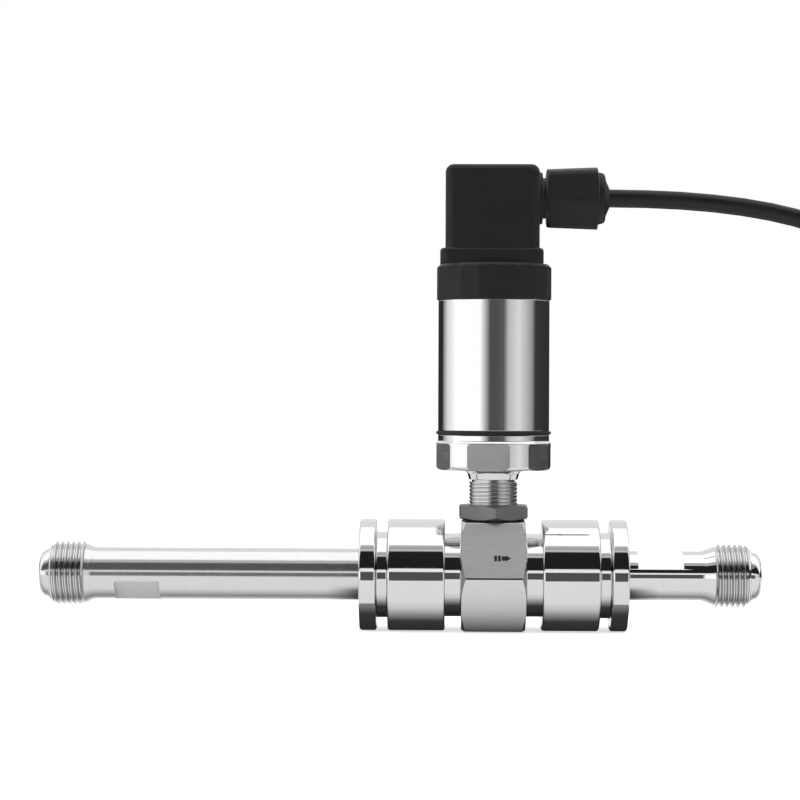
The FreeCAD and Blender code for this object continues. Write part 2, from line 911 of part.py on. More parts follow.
def plug_housing():
    half = plug_width / 2
    shell = rounded_block(
        -plug_left, plug_right, half, collar_top, plug_top, plug_rounding, plug_rounding * 0.9
    )
    skirt = rounded_block(
        -plug_left - skirt_margin_left,
        plug_right + skirt_margin_right,
        half + skirt_margin_side,
        collar_top,
        collar_top + skirt_height,
        plug_rounding,
        skirt_rounding,
    )
    boss = rod_x(boss_diameter, plug_right - plug_wall, boss_end, 0, cable_axis)
    neck = rod_x(gland_neck_diameter, plug_right - plug_wall, gland_neck_end, 0, cable_axis)
    shell = shell.fuse([skirt, boss, neck])
    ceiling = plug_top - plug_wall
    inside = rounded_block(
        -plug_left + plug_wall,
        plug_right - plug_wall,
        half - plug_wall,
        collar_top - 1,
        ceiling,
        plug_rounding - plug_wall / 2,
        0,
    )
    pillar = rod_z(pillar_diameter, ceiling - pillar_height, plug_top - plug_wall)
    shell = shell.cut(inside).fuse(pillar)
    shell = shell.cut(
        rod_x(gland_neck_bore, plug_right - plug_wall - 1, gland_neck_end + 1, 0, cable_axis)
    )
    shank = centre_screw_diameter + 2 * turn_gap
    shell = shell.cut(rod_z(shank, ceiling - pillar_height - 1, plug_top + 1))
    recess = screw_head_diameter + 4 * turn_gap
    recess_floor = plug_top - screw_head_sunk - screw_head_height
    return shell.cut(rod_z(recess, recess_floor, plug_top + 1)).removeSplitter()


def profile_gasket():
    x0 = -plug_left + plug_wall + turn_gap
    x1 = plug_right - plug_wall - turn_gap
    half = plug_width / 2 - plug_wall - turn_gap
    corner = plug_rounding - plug_wall / 2
    ring = rounded_block(x0, x1, half, collar_top, collar_top + gasket_thickness, corner, 0)
    return ring.cut(
        centred_block(gasket_opening, gasket_opening, collar_top - 1, block_bottom + 1)
    )


def contact_size(way):
    wide = pin_width + 2 * (free_gap + contact_wall)
    thick = pin_thickness + 2 * (free_gap + contact_wall)
    return (thick, wide) if way[0] else (wide, thick)


def terminal_block():
    half = block_width / 2
    piece = rounded_block(-half, half, half, block_bottom, block_top, plug_rounding, 0)
    contact_top = block_bottom + turn_gap + contact_height
    for way in pin_places:
        x, y = pin_place(way)
        wide, deep = contact_size(way)
        piece = piece.cut(
            centred_block(
                wide + 2 * slide_gap, deep + 2 * slide_gap, block_bottom - 1, contact_top, x, y
            )
        )
        hole = clamp_shank_diameter + 2 * slide_gap
        piece = piece.cut(rod_z(hole, contact_top - 1, block_top + 1, x, y))
    shank = centre_screw_diameter + 2 * turn_gap
    return piece.cut(rod_z(shank, block_bottom - 1, block_top + 1))


def terminal_contacts():
    # Rectangular sockets that the pins enter, one in each pocket of the block.
    sockets = []
    for way in pin_places:
        x, y = pin_place(way)
        wide, deep = contact_size(way)
        start = block_bottom + turn_gap
        end = start + contact_height
        socket = centred_block(wide, deep, start, end - slide_gap, x, y)
        inner = centred_block(
            wide - 2 * contact_wall, deep - 2 * contact_wall, start - 1, end - contact_wall, x, y
        )
        sockets.append(socket.cut(inner))
    return Part.makeCompound(sockets)


def clamp_screws():
    screws = []
    contact_top = block_bottom + turn_gap + contact_height
    for way in pin_places:
        x, y = pin_place(way)
        shank = rod_z(clamp_shank_diameter, contact_top, block_top, x, y)
        head_end = block_top + clamp_head_height
        head = rod_z(clamp_head_diameter, block_top, head_end, x, y)
        slot_floor = head_end - clamp_slot
        slot = centred_block(clamp_head_diameter + 1, clamp_slot, slot_floor, head_end + 1, x, y)
        screws.append(shank.fuse(head).cut(slot))
    return Part.makeCompound(screws)


def plug_cores():
    # The stripped cores inside the plug, from the cable to three of the clamp screws.
    start = cable_exit - cable_stub - core_start_gap
    rest = block_top + clamp_head_height + core_diameter / 2
    reach = pin_spacing / 2
    rise = cable_axis + core_diameter / 2
    cores = []
    for way in (-1, 1):
        points = [
            Vector(start, way * core_diameter * 0.75, rise),
            Vector(start / 2, way * reach * 0.65, rise + core_hump),
            Vector(0, way * reach, rest),
        ]
        cores.append(tube(points, core_diameter)[0])
    middle = [
        Vector(start, 0, rise + core_diameter),
        Vector(start - core_lead_in, 0, rise + core_diameter),
        Vector(reach, 0, rest),
    ]
    cores.append(tube(middle, core_diameter)[0])
    return Part.makeCompound(cores)


def plug_screw():
    head_top = plug_top - screw_head_sunk
    head_bottom = head_top - screw_head_height
    shank = rod_z(centre_screw_diameter, collar_top - screw_depth_in_insert, head_bottom)
    head = rod_z(screw_head_diameter, head_bottom, head_top)
    slot = centred_block(
        screw_head_diameter + 1, screw_slot_width, head_top - screw_slot_depth, head_top + 1
    )
    return shank.fuse(head).cut(slot).removeSplitter()


def gland_washer():
    start = gland_neck_end + press_gap
    ring = rod_x(gland_neck_diameter - 1, start, start + gland_washer_thickness, 0, cable_axis)
    bore = gland_neck_bore - 2 * turn_gap
    return ring.cut(rod_x(bore, start - 1, start + 2 * gland_washer_thickness, 0, cable_axis))


def gland_seal():
    # The rubber collar round the cable: a shank in the neck, a flange and a tapered nose.
    flange = gland_neck_end + gland_washer_thickness + 2 * press_gap
    shank_start = flange - gland_seal_shank_length
    shank_radius = gland_neck_bore / 2 - 2 * turn_gap
    mouth_radius = gland_mouth_diameter / 2 - 2 * turn_gap
    return turned_x(
        [
            (shank_start, cable_diameter / 2 + press_gap),
            (shank_start, shank_radius),
            (flange, shank_radius),
            (flange, mouth_radius),
            (gland_nut_end, mouth_radius, gland_seal_nose_rounding),
            (cable_exit, cable_diameter / 2 + gland_seal_nose_wall),
            (cable_exit, cable_diameter / 2 + press_gap),
        ],
        cable_axis,
    )


def gland_nut():
    corner = gland_across / 2 / math.cos(math.pi / 6)
    nut = prism_x(6, gland_across, gland_nut_start, gland_nut_end, gland_turn, cable_axis)
    envelope = turned_x(
        [
            (gland_nut_start, 0),
            (gland_nut_start, corner - gland_corner_chamfer),
            (gland_nut_start + gland_corner_chamfer, corner),
            (gland_hex_end, corner),
            (gland_hex_end + gland_shoulder, gland_across / 2 - gland_shoulder),
            (gland_nut_end, gland_dome_diameter / 2, gland_dome_rounding),
            (gland_nut_end, 0),
        ],
        cable_axis,
    )
    nut = nut.common(envelope)
    thread_end = gland_neck_end + free_gap
    neck_bore = gland_neck_diameter + 2 * turn_gap
    nut = nut.cut(rod_x(neck_bore, gland_nut_start - 1, thread_end, 0, cable_axis))
    mouth = rod_x(gland_mouth_diameter, thread_end - 1, gland_nut_end + 1, 0, cable_axis)
    return nut.cut(mouth).removeSplitter()


def cable_in_gland():
    return rod_x(cable_diameter, cable_exit - cable_stub, cable_exit, 0, cable_axis)


def cable_run():
    points = [Vector(cable_exit + x, y, cable_axis + z) for x, y, z in route_from_exit]
    solid, length = tube(points, cable_diameter)
    wanted = math.pi * cable_diameter**2 / 4 * length
    runs = [(b - a).Length for a, b in zip(points, points[1:])]
    print("cable runs", [round(r, 1) for r in runs])
    print("cable radii", [round(r, 1) for r in path_radii(points)])
    print("cable length", round(length, 1), "volume share", round(solid.Volume / wanted, 4))
    print("cable end above surface", round(points[-1].z - surface, 2))
    return solid


def hank_outline(offset, height):
    # The waisted outline of one turn, this far outside the innermost turn's centre line.
    fold = fold_radius + offset
    waist = waist_half_width + offset
    arc = waist_arc_radius - offset
    step = math.sqrt((fold + arc) ** 2 - (waist + arc) ** 2)
    centre = waist_half_length + step
    angle = math.atan2(step, waist + arc)
    touch_x = waist_half_length + arc * math.sin(angle)
    touch_y = waist + arc - arc * math.cos(angle)
    mid_x = waist_half_length + arc * math.sin(angle / 2)
    mid_y = waist + arc - arc * math.cos(angle / 2)
    edges = []
    for way in (-1, 1):
        for side in (-1, 1):
            start = Vector(way * waist_half_length, side * waist, height)
            middle = Vector(way * mid_x, side * mid_y, height)
            end = Vector(way * touch_x, side * touch_y, height)
            edges.append(Part.Arc(start, middle, end).toShape())
        low = Vector(way * touch_x, -touch_y, height)
        far = Vector(way * (centre + fold), 0, height)
        high = Vector(way * touch_x, touch_y, height)
        edges.append(Part.Arc(low, far, high).toShape())
    for side in (-1, 1):
        left = Vector(-waist_half_length, side * waist, height)
        right = Vector(waist_half_length, side * waist, height)
        edges.append(Part.LineSegment(left, right).toShape())
    wire = Part.Wire(Part.__sortEdges__(edges))
    wire.translate(Vector(hank_centre_from_axis, 0, 0))
    return wire, centre


def cable_hank():
    # Two turns beside each other and two layers, tied at the waist into a flat hank.
    height = 2 * cable_diameter
    wire, centre = hank_outline(1.5 * cable_diameter, surface)
    solid = Part.Face(wire).extrude(Vector(0, 0, height))
    for way in (-1, 1):
        x = hank_centre_from_axis + way * centre
        eye = rod_z(2 * fold_radius - cable_diameter, surface - 1, surface + height + 1, x)
        solid = solid.cut(eye)
    turns = [hank_outline(o, surface)[0].Length for o in (0, cable_diameter)]
    print("hank turns", [round(t, 1) for t in turns], "all four", round(2 * sum(turns), 1))
    print("hank from", round(solid.BoundBox.XMin, 1), "to", round(solid.BoundBox.XMax, 1))
    rim = [e for e in solid.Edges if e.BoundBox.ZLength < 0.01]
    return solid.makeChamfer(hank_rim_chamfer, rim)


def hank_tie():
    half = waist_half_width + 1.5 * cable_diameter
    height = 2 * cable_diameter
    outer = centred_block(
        tie_width,
        2 * (half + tie_thickness + turn_gap),
        surface,
        surface + height + tie_thickness,
        hank_centre_from_axis,
    )
    inner = centred_block(
        tie_width + 2,
        2 * (half + turn_gap),
        surface - 1,
        surface + height + press_gap,
        hank_centre_from_axis,
    )
    return outer.cut(inner)


def tail_place():
    # The end leaves the outer turn of the lower layer where the left fold is farthest to the back.
    _, centre = hank_outline(0, surface)
    x = hank_centre_from_axis - centre
    y = fold_radius + cable_diameter
    return Vector(x, y, surface + cable_diameter / 2)


def cable_tail():
    start = tail_place()
    return rod_x(cable_diameter, start.x, start.x + tail_length, start.y, start.z)


def core_ends():
    # Three cores that fan out a little, each in a crimped ferrule.
    start = tail_place() + Vector(tail_length + 2 * turn_gap, 0, 0)
    pieces = []
    for way in (-1, 0, 1):
        side = way * core_spread
        points = [
            start + Vector(0, way * core_diameter, 0),
            start + Vector(core_length / 2, side, 0),
            start + Vector(core_length, side + way * core_tip_spread, 0),
        ]
        if way:
            core = tube(points, core_diameter)[0]
        else:
            core = rod_x(core_diameter, points[0].x, points[2].x, start.y, start.z)
        aim = (points[2] - points[1]).normalize()
        ferrule = Part.makeCylinder(ferrule_diameter / 2, ferrule_length, points[2], aim)
        pieces.append(core.fuse(ferrule))
    return Part.makeCompound(pieces)


pieces = {
    "meter_body": meter_body(),
    "inlet_coupling": coupling("inlet"),
    "outlet_coupling": coupling("outlet"),
    "inlet_pipe": pipe("inlet"),
    "outlet_pipe": pipe("outlet"),
    "inlet_o_ring": face_seal("inlet"),
    "outlet_o_ring": face_seal("outlet"),
    "front_hanger": hanger("inlet"),
    "rear_hanger": hanger("outlet"),
    "front_bush": bush("inlet"),
    "rear_bush": bush("outlet"),
    "front_circlip": circlip("inlet"),
    "rear_circlip": circlip("outlet"),
    "rotor": rotor(),
    "rotor_shaft": rotor_shaft(),
    "pickup_seal": pickup_seal(),
    "lock_nut": lock_nut(),
    "pickup_barrel": pickup_barrel(),
    "pole_piece": pole_piece(),
    "pickup_magnet": pickup_magnet(),
    "coil_bobbin": coil_bobbin(),
    "coil_winding": coil_winding(),
    "pickup_leads": pickup_leads(),
    "housing_base": housing_base(),
    "housing_o_ring": housing_o_ring(),
    "housing_sleeve": housing_sleeve(),
    "preamp_board": preamp_board(),
    "board_components": board_components(),
    "board_standoffs": board_standoffs(),
    "board_screws": board_screws(),
    "connector_leads": connector_leads(),
    "connector_collar": connector_collar(),
    "connector_insert": connector_insert(),
    "contact_pins": contact_pins(),
    "profile_gasket": profile_gasket(),
    "plug_housing": plug_housing(),
    "terminal_block": terminal_block(),
    "terminal_contacts": terminal_contacts(),
    "clamp_screws": clamp_screws(),
    "plug_cores": plug_cores(),
    "plug_screw": plug_screw(),
    "gland_washer": gland_washer(),
    "gland_seal": gland_seal(),
    "gland_nut": gland_nut(),
    "cable_in_gland": cable_in_gland(),
    "cable_run": cable_run(),
    "cable_hank": cable_hank(),
    "hank_tie": hank_tie(),
    "cable_tail": cable_tail(),
    "core_ends": core_ends(),
}

os.makedirs("parts", exist_ok=True)
for name, shape in pieces.items():
    placed = shape.translated(Vector(head_from_inlet, 0, 0))
    if not placed.isValid():
        print("not valid:", name)
    placed.exportStep(f"parts/{name}.step")
print("head axis at", round(head_from_inlet, 2), "pieces", len(pieces))
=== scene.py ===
import json
import math
import bmesh
import bpy
from mathutils import Matrix, Vector


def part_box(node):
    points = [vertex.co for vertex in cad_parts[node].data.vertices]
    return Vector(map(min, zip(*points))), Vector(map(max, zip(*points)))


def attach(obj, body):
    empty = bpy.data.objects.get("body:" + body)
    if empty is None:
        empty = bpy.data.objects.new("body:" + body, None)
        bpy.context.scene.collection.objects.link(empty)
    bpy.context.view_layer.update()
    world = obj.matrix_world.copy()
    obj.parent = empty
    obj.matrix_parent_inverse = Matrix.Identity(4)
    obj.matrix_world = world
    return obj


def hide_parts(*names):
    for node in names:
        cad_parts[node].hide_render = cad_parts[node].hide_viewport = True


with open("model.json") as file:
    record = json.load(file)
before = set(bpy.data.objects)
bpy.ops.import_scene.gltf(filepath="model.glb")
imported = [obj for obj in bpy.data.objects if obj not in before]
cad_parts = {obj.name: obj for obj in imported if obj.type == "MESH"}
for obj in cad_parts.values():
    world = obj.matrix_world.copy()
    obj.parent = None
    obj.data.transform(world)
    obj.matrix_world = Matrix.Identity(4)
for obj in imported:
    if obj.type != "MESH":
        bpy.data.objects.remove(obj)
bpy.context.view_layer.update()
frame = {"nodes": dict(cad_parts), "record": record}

# Turbine flow meter with a plug-in head. Pieces are modelled in millimetres in the frame of the
# loaded model, and each one is scaled to metres when it is finished.
mm = 0.001


def span(node):  # a CAD node's box in millimetres
    low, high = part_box(node)
    return [value / mm for value in (low.x, high.x, low.y, high.y, low.z, high.z)]


sleeveSpan = span("housing_sleeve")
headX = (sleeveSpan[0] + sleeveSpan[1]) / 2
headAxis = (headX, 0, 0)  # the upright round pieces stand about this
floorZ = span("inlet_coupling")[4]  # the couplings and the cable rest on the floor
past = 1.0  # how far a cutting tool reaches past what it cuts
samePlace = 1e-4  # points nearer than this to each other are one
tolerance = 0.01  # faces and edges nearer than this to a place count as on it

# Colours and materials


def hexColour(code):  # an sRGB hex value as linear colour
    values = []
    for i in (0, 2, 4):
        value = int(code[i:i + 2], 16) / 255
        values.append(value / 12.92 if value <= 0.04045 else ((value + 0.055) / 1.055) ** 2.4)
    return (*values, 1)


def addNode(tree, kind, settings=None, inputs=None, links=None):  # one node with settings and links
    node = tree.nodes.new(kind)
    for key, value in (settings or {}).items():
        setattr(node, key, value)
    for key, value in (inputs or {}).items():
        node.inputs[key].default_value = value
    for key, source in (links or {}).items():
        tree.links.new(source, node.inputs[key])
    return node


def newMaterial(name):
    material = bpy.data.materials.new(name)
    material.use_nodes = True
    tree = material.node_tree
    tree.nodes.clear()
    shader = addNode(tree, "ShaderNodeBsdfPrincipled")
    output = addNode(tree, "ShaderNodeOutputMaterial")
    tree.links.new(shader.outputs[0], output.inputs["Surface"])
    return material, tree, shader


def tintAndBump(tree, shader, pattern, colour, depth):  # the colour and relief that a pattern gives
    tint = addNode(tree, "ShaderNodeMix", {"data_type": "RGBA"},
                   inputs={6: hexColour(colour[0]), 7: hexColour(colour[1])}, links={0: pattern})
    tree.links.new(tint.outputs[2], shader.inputs["Base Color"])
    bump = addNode(tree, "ShaderNodeBump", inputs={"Strength": 1, "Distance": depth * mm},
                   links={"Height": pattern})
    tree.links.new(bump.outputs[0], shader.inputs["Normal"])


def steel(name, colour, roughness, lineMm, stretch, lineDepth, stainShare=0.25, bare=1.0):
    # Bare metal. The cut or brushed lines are lineMm apart, and stretch gives how much longer than
    # wide they are along each axis. Bare is under 1 where a haze or blasting scatters light.
    material, tree, shader = newMaterial(name)
    shader.inputs["Metallic"].default_value = bare
    place = addNode(tree, "ShaderNodeTexCoord")
    lineScale = 1 / (lineMm * mm)
    stretched = tuple(lineScale / part for part in stretch)
    lineMap = addNode(tree, "ShaderNodeMapping", inputs={"Scale": stretched},
                      links={"Vector": place.outputs["Object"]})
    lines = addNode(tree, "ShaderNodeTexNoise", inputs={"Scale": 1, "Detail": 3, "Roughness": 0.6},
                    links={"Vector": lineMap.outputs[0]})
    cloudSize = 9  # handling marks are patches of about this many millimetres
    clouds = addNode(tree, "ShaderNodeTexNoise", inputs={"Scale": 1 / (cloudSize * mm), "Detail": 2},
                     links={"Vector": place.outputs["Object"]})
    low, high = roughness
    rough = addNode(tree, "ShaderNodeMapRange",
                    inputs={"From Min": 0.3, "From Max": 0.7, "To Min": low, "To Max": high},
                    links={"Value": lines.outputs["Fac"]})
    worn = addNode(tree, "ShaderNodeMapRange",
                   inputs={"From Min": 0.35, "From Max": 0.7, "To Min": 1 - stainShare / 2,
                           "To Max": 1 + stainShare / 2},
                   links={"Value": clouds.outputs["Fac"]})
    product = addNode(tree, "ShaderNodeMath", {"operation": "MULTIPLY"},
                      links={0: rough.outputs[0], 1: worn.outputs[0]})
    tree.links.new(product.outputs[0], shader.inputs["Roughness"])
    tintAndBump(tree, shader, lines.outputs["Fac"], colour, lineDepth)
    return material


def moulded(name, colour, roughness, grainMm, grainDepth, coat=0.0):
    # A moulded or drawn plastic or rubber, with the grain of its tool.
    material, tree, shader = newMaterial(name)
    place = addNode(tree, "ShaderNodeTexCoord")
    grain = addNode(tree, "ShaderNodeTexNoise",
                    inputs={"Scale": 1 / (grainMm * mm), "Detail": 3, "Roughness": 0.55},
                    links={"Vector": place.outputs["Object"]})
    patchSize = 14  # slow changes of gloss over about this many millimetres
    patches = addNode(tree, "ShaderNodeTexNoise", inputs={"Scale": 1 / (patchSize * mm), "Detail": 2},
                      links={"Vector": place.outputs["Object"]})
    shader.inputs["Specular IOR Level"].default_value = 0.3
    low, high = roughness
    rough = addNode(tree, "ShaderNodeMapRange",
                    inputs={"From Min": 0.35, "From Max": 0.65, "To Min": low, "To Max": high},
                    links={"Value": patches.outputs["Fac"]})
    tree.links.new(rough.outputs[0], shader.inputs["Roughness"])
    tintAndBump(tree, shader, grain.outputs["Fac"], colour, grainDepth)
    shader.inputs["Coat Weight"].default_value = coat
    return material


# Stainless steel 1.4301, turned and buffed: sharp mirror bands with rings too fine to feel.
polishedSteel = steel("polished stainless steel", ("D8D8DA", "E4E4E5"), (0.035, 0.075), 0.22,
                      (1, 60, 60), 0.0002)
# The long inlet pipe is drawn tube, buffed by hand: its bands have softer edges.
drawnSteel = steel("buffed stainless steel tube", ("D2D2D4", "DEDEDF"), (0.11, 0.17), 0.25,
                   (1, 60, 60), 0.0002, bare=0.92)
# The flats on the inlet pipe are glass bead blasted.
blastedSteel = steel("bead blasted stainless steel", ("C6C6C7", "D4D4D5"), (0.4, 0.5), 0.3,
                     (1, 1, 1), 0.0015, bare=0.45)
# The threads come off the die a little duller than the buffed pipe.
threadSteel = steel("cut thread stainless steel", ("C4C4C5", "D9D9DA"), (0.12, 0.22), 0.3,
                    (1, 30, 30), 0.001)
# The barrel with its rolled thread is darker from handling.
rolledSteel = steel("rolled thread stainless steel", ("B4B4B6", "C4C4C6"), (0.12, 0.2), 0.3,
                    (30, 30, 1), 0.0004)
# The hexagon is milled and belt ground along the pipe, so its faces are a soft even grey.
groundSteel = steel("belt ground stainless steel", ("CACACB", "E4E4E5"), (0.26, 0.38), 0.16,
                    (60, 1, 1), 0.0018)
# The flats of the base are milled across, bright and even.
milledSteel = steel("milled stainless steel", ("DADADB", "EAEAEB"), (0.18, 0.24), 0.2,
                    (30, 30, 1), 0.0004)
# The sleeve and base are turned and polished on a wheel: bands with soft edges that run up them.
wheelSteel = steel("wheel polished stainless steel", ("D6D6D8", "E2E2E3"), (0.05, 0.09), 0.25,
                   (30, 30, 1), 0.00012)
# The lock nut and the small hardware are tumbled to a dark satin.
satinSteel = steel("tumbled stainless steel", ("6E6E6F", "7E7E7F"), (0.34, 0.48), 0.5, (1, 1, 1), 0.002)
# Ferritic stainless for the rotor and pole, ground all over.
rotorSteel = steel("ground ferritic stainless steel", ("A8A8AA", "C2C2C4"), (0.18, 0.3), 0.15,
                   (20, 1, 1), 0.001)
# Tungsten carbide bearings are dark and lapped.
carbide = steel("lapped tungsten carbide", ("5C5C60", "6C6C70"), (0.08, 0.14), 0.1, (1, 1, 1), 0.0005)
# Tinned brass contacts, bright with a warm cast.
tinnedBrass = steel("tinned brass", ("C9C4B4", "D8D4C6"), (0.2, 0.32), 0.4, (1, 1, 8), 0.001)
# Enamelled copper wire of the coil, wound in layers along Z.
copperWire = steel("enamelled copper wire", ("A3562B", "C4763F"), (0.22, 0.34), 0.35, (12, 12, 1), 0.02)
# Glass filled nylon 66 from a spark eroded mould: a fine dry grain.
blackNylon = moulded("glass filled black nylon", ("0E0E0F", "151516"), (0.42, 0.56), 0.22, 0.006)
# Nitrile rubber, matt with a slight bloom.
blackRubber = moulded("black nitrile rubber", ("101011", "181819"), (0.5, 0.7), 0.5, 0.004)
# Soft PVC sheath, extruded smooth.
cableSheath = moulded("black PVC sheath", ("101011", "151516"), (0.34, 0.46), 1.2, 0.003)
# Glass laminate under a green solder mask.
boardLaminate = moulded("green solder mask laminate", ("0B4A22", "0E5A2A"), (0.22, 0.34), 1.5, 0.004,
                        coat=0.4)
# Wire insulation in the three colours of a power core, with the grain of the extruder.
brownCore = moulded("brown PVC insulation", ("5A2C16", "6A3820"), (0.32, 0.44), 0.8, 0.002)
blueCore = moulded("blue PVC insulation", ("1B4C8E", "2359A0"), (0.32, 0.44), 0.8, 0.002)
blackCore = moulded("black PVC insulation", ("131314", "19191A"), (0.32, 0.44), 0.8, 0.002)
# Laser marked oxide, as the flow arrow has it.
markBlack = moulded("laser marked oxide", ("141415", "1E1E1F"), (0.45, 0.6), 0.1, 0.0005)

nodeMaterials = {
    "polished_steel": polishedSteel, "brushed_steel": groundSteel, "satin_steel": satinSteel,
    "rotor_steel": rotorSteel, "bearing_carbide": carbide, "black_rubber": blackRubber,
    "black_nylon": blackNylon, "copper_wire": copperWire, "tinned_brass": tinnedBrass,
    "board_laminate": boardLaminate, "wire_insulation": brownCore, "cable_sheath": cableSheath,
}
for part in frame["record"]["subparts"]:
    node = frame["nodes"][part["node"]]
    node.data.materials.clear()
    node.data.materials.append(nodeMaterials[part["material_slot"]])
print("materials made")

# Modelling helpers, all in millimetres


def makeActive(piece):  # selects one piece alone
    bpy.ops.object.select_all(action="DESELECT")
    bpy.context.view_layer.objects.active = piece
    piece.select_set(True)


def pick(piece, kind, test):  # selects vertices or edges by their place, in edit mode
    bpy.ops.mesh.select_mode(type=kind)
    bpy.ops.mesh.select_all(action="DESELECT")
    mesh = bmesh.from_edit_mesh(piece.data)
    for element in mesh.verts if kind == "VERT" else mesh.edges:
        if test(element):
            element.select_set(True)
    bmesh.update_edit_mesh(piece.data)


def startPoint(name, place):  # a plane merged to one vertex, left in edit mode
    bpy.ops.object.select_all(action="DESELECT")
    bpy.ops.mesh.primitive_plane_add(size=1, location=(0, 0, 0))
    piece = bpy.context.object
    piece.name = name
    bpy.ops.object.mode_set(mode="EDIT")
    bpy.ops.mesh.select_mode(type="VERT")
    bpy.ops.mesh.merge(type="CENTER")
    bpy.ops.transform.translate(value=place)
    return piece


def extrudeChain(points):  # extrudes the selected vertex through the points
    for before, after in zip(points, points[1:]):
        bpy.ops.mesh.extrude_vertices_move(TRANSFORM_OT_translate={"value": after - before})


def roundCorner(piece, before, corner, after, radius, segments=5):
    half = (before - corner).angle(after - corner) / 2
    pick(piece, "VERT", lambda vertex: (vertex.co - corner).length < samePlace)
    bpy.ops.mesh.bevel(offset=radius / math.tan(half), segments=segments, affect="VERTICES",
                       clamp_overlap=True)


def turned(name, corners, axis="X", centre=(0, 0, 0), steps=128):
    # Spins a profile of (along, out) corners, each with an optional rounding. The profile is closed
    # where it doesn't start and end on the axis.
    centre = Vector(centre)
    if axis == "X":
        points = [centre + Vector((c[0], 0, c[1])) for c in corners]
        spinAxis = (1, 0, 0)
    else:
        points = [centre + Vector((c[1], 0, c[0])) for c in corners]
        spinAxis = (0, 0, 1)
    piece = startPoint(name, points[0])
    extrudeChain(points)
    onAxis = corners[0][1] == 0 and corners[-1][1] == 0
    if not onAxis:
        pick(piece, "VERT", lambda vertex: min((vertex.co - points[i]).length for i in (0, -1)) < samePlace)
        bpy.ops.mesh.edge_face_add()
    for i, corner in enumerate(corners):
        if len(corner) > 2:
            roundCorner(piece, points[i - 1], points[i], points[(i + 1) % len(points)], corner[2])
    bpy.ops.mesh.select_mode(type="VERT")
    bpy.ops.mesh.select_all(action="SELECT")
    bpy.ops.mesh.spin(steps=steps, angle=2 * math.pi, center=centre, axis=spinAxis)
    bpy.ops.mesh.select_all(action="SELECT")
    bpy.ops.mesh.remove_doubles(threshold=samePlace)
    bpy.ops.mesh.normals_make_consistent(inside=False)
    bpy.ops.object.mode_set(mode="OBJECT")
    return piece


def rod(name, radius, start, end, axis="X", centre=(0, 0, 0), steps=96):  # a plain cylinder
    corners = [(start, 0), (start, radius), (end, radius), (end, 0)]
    return turned(name, corners, axis, centre, steps)


def combine(piece, tool, how):  # a boolean with another piece, which it uses up
    makeActive(piece)
    modifier = piece.modifiers.new("combine", "BOOLEAN")
    modifier.operation = how
    modifier.object = tool
    modifier.solver = "EXACT"
    bpy.ops.object.modifier_apply(modifier=modifier.name)
    bpy.data.objects.remove(tool)
    return piece


def cornerRadius(across, sides):  # from the middle of a regular prism to its corners
    return across / 2 / math.cos(math.pi / sides)


def prism(name, sides, across, start, end, axis="X", centre=(0, 0, 0), turn=0.0):
    # A regular prism with one corner towards the viewer, turned by some degrees.
    bpy.ops.object.select_all(action="DESELECT")
    radius = cornerRadius(across, sides)
    bpy.ops.mesh.primitive_cylinder_add(vertices=sides, radius=radius, depth=end - start)
    piece = bpy.context.object
    piece.name = name
    piece.data.transform(Matrix.Rotation(math.radians(turn) + math.pi, 4, "Z"))
    if axis == "X":
        piece.data.transform(Matrix.Rotation(math.pi / 2, 4, "Y"))
    middle = Vector(centre)
    middle["XYZ".index(axis)] += (start + end) / 2
    piece.data.transform(Matrix.Translation(middle))
    return piece


def chamferedEnds(start, end, rim, corner, inset):  # the outline that takes a hexagon's corners off
    return [(start, 0), (start, rim), (start + inset, corner), (end - inset, corner), (end, rim), (end, 0)]


def box(name, low, high, turn=0):  # a block between two corners, then turned about the X axis
    bpy.ops.object.select_all(action="DESELECT")
    low, high = Vector(low), Vector(high)
    bpy.ops.mesh.primitive_cube_add(size=1)
    piece = bpy.context.object
    piece.name = name
    piece.data.transform(Matrix.Translation((low + high) / 2) @ Matrix.Diagonal((*(high - low), 1)))
    piece.data.transform(Matrix.Rotation(math.radians(turn), 4, "X"))
    return piece


def runsAlong(axis, edge):  # goes on for more than a millimetre along X, Y or Z
    first, last = edge.verts
    i = "XYZ".index(axis)
    return abs(first.co[i] - last.co[i]) > 1


def isOver(edge, height):
    return all(vertex.co.z > height - tolerance for vertex in edge.verts)


def roundEdges(piece, test, radius, segments=5):  # bevels the edges that the test picks
    makeActive(piece)
    bpy.ops.object.mode_set(mode="EDIT")
    pick(piece, "EDGE", test)
    bpy.ops.mesh.bevel(offset=radius, segments=segments, affect="EDGES", clamp_overlap=True)
    bpy.ops.object.mode_set(mode="OBJECT")


def softenEdges(piece, width, angle=24):  # a fine bevel on every edge sharper than this many degrees
    makeActive(piece)
    modifier = piece.modifiers.new("soften", "BEVEL")
    modifier.width = width
    modifier.segments = 2
    modifier.limit_method = "ANGLE"
    modifier.angle_limit = math.radians(angle)
    bpy.ops.object.modifier_apply(modifier=modifier.name)


# What all threads share: half of the root's flat and the rounding of the crest, as shares of the
# pitch, how steep an end's chamfer is, how deep it is at a plain end, and the room over the crest.
threadShape = {"rootHalf": 0.083, "crestRounding": 0.07, "chamferSlope": 0.75, "plainEnd": 0.01,
               "tipRoom": 0.1}


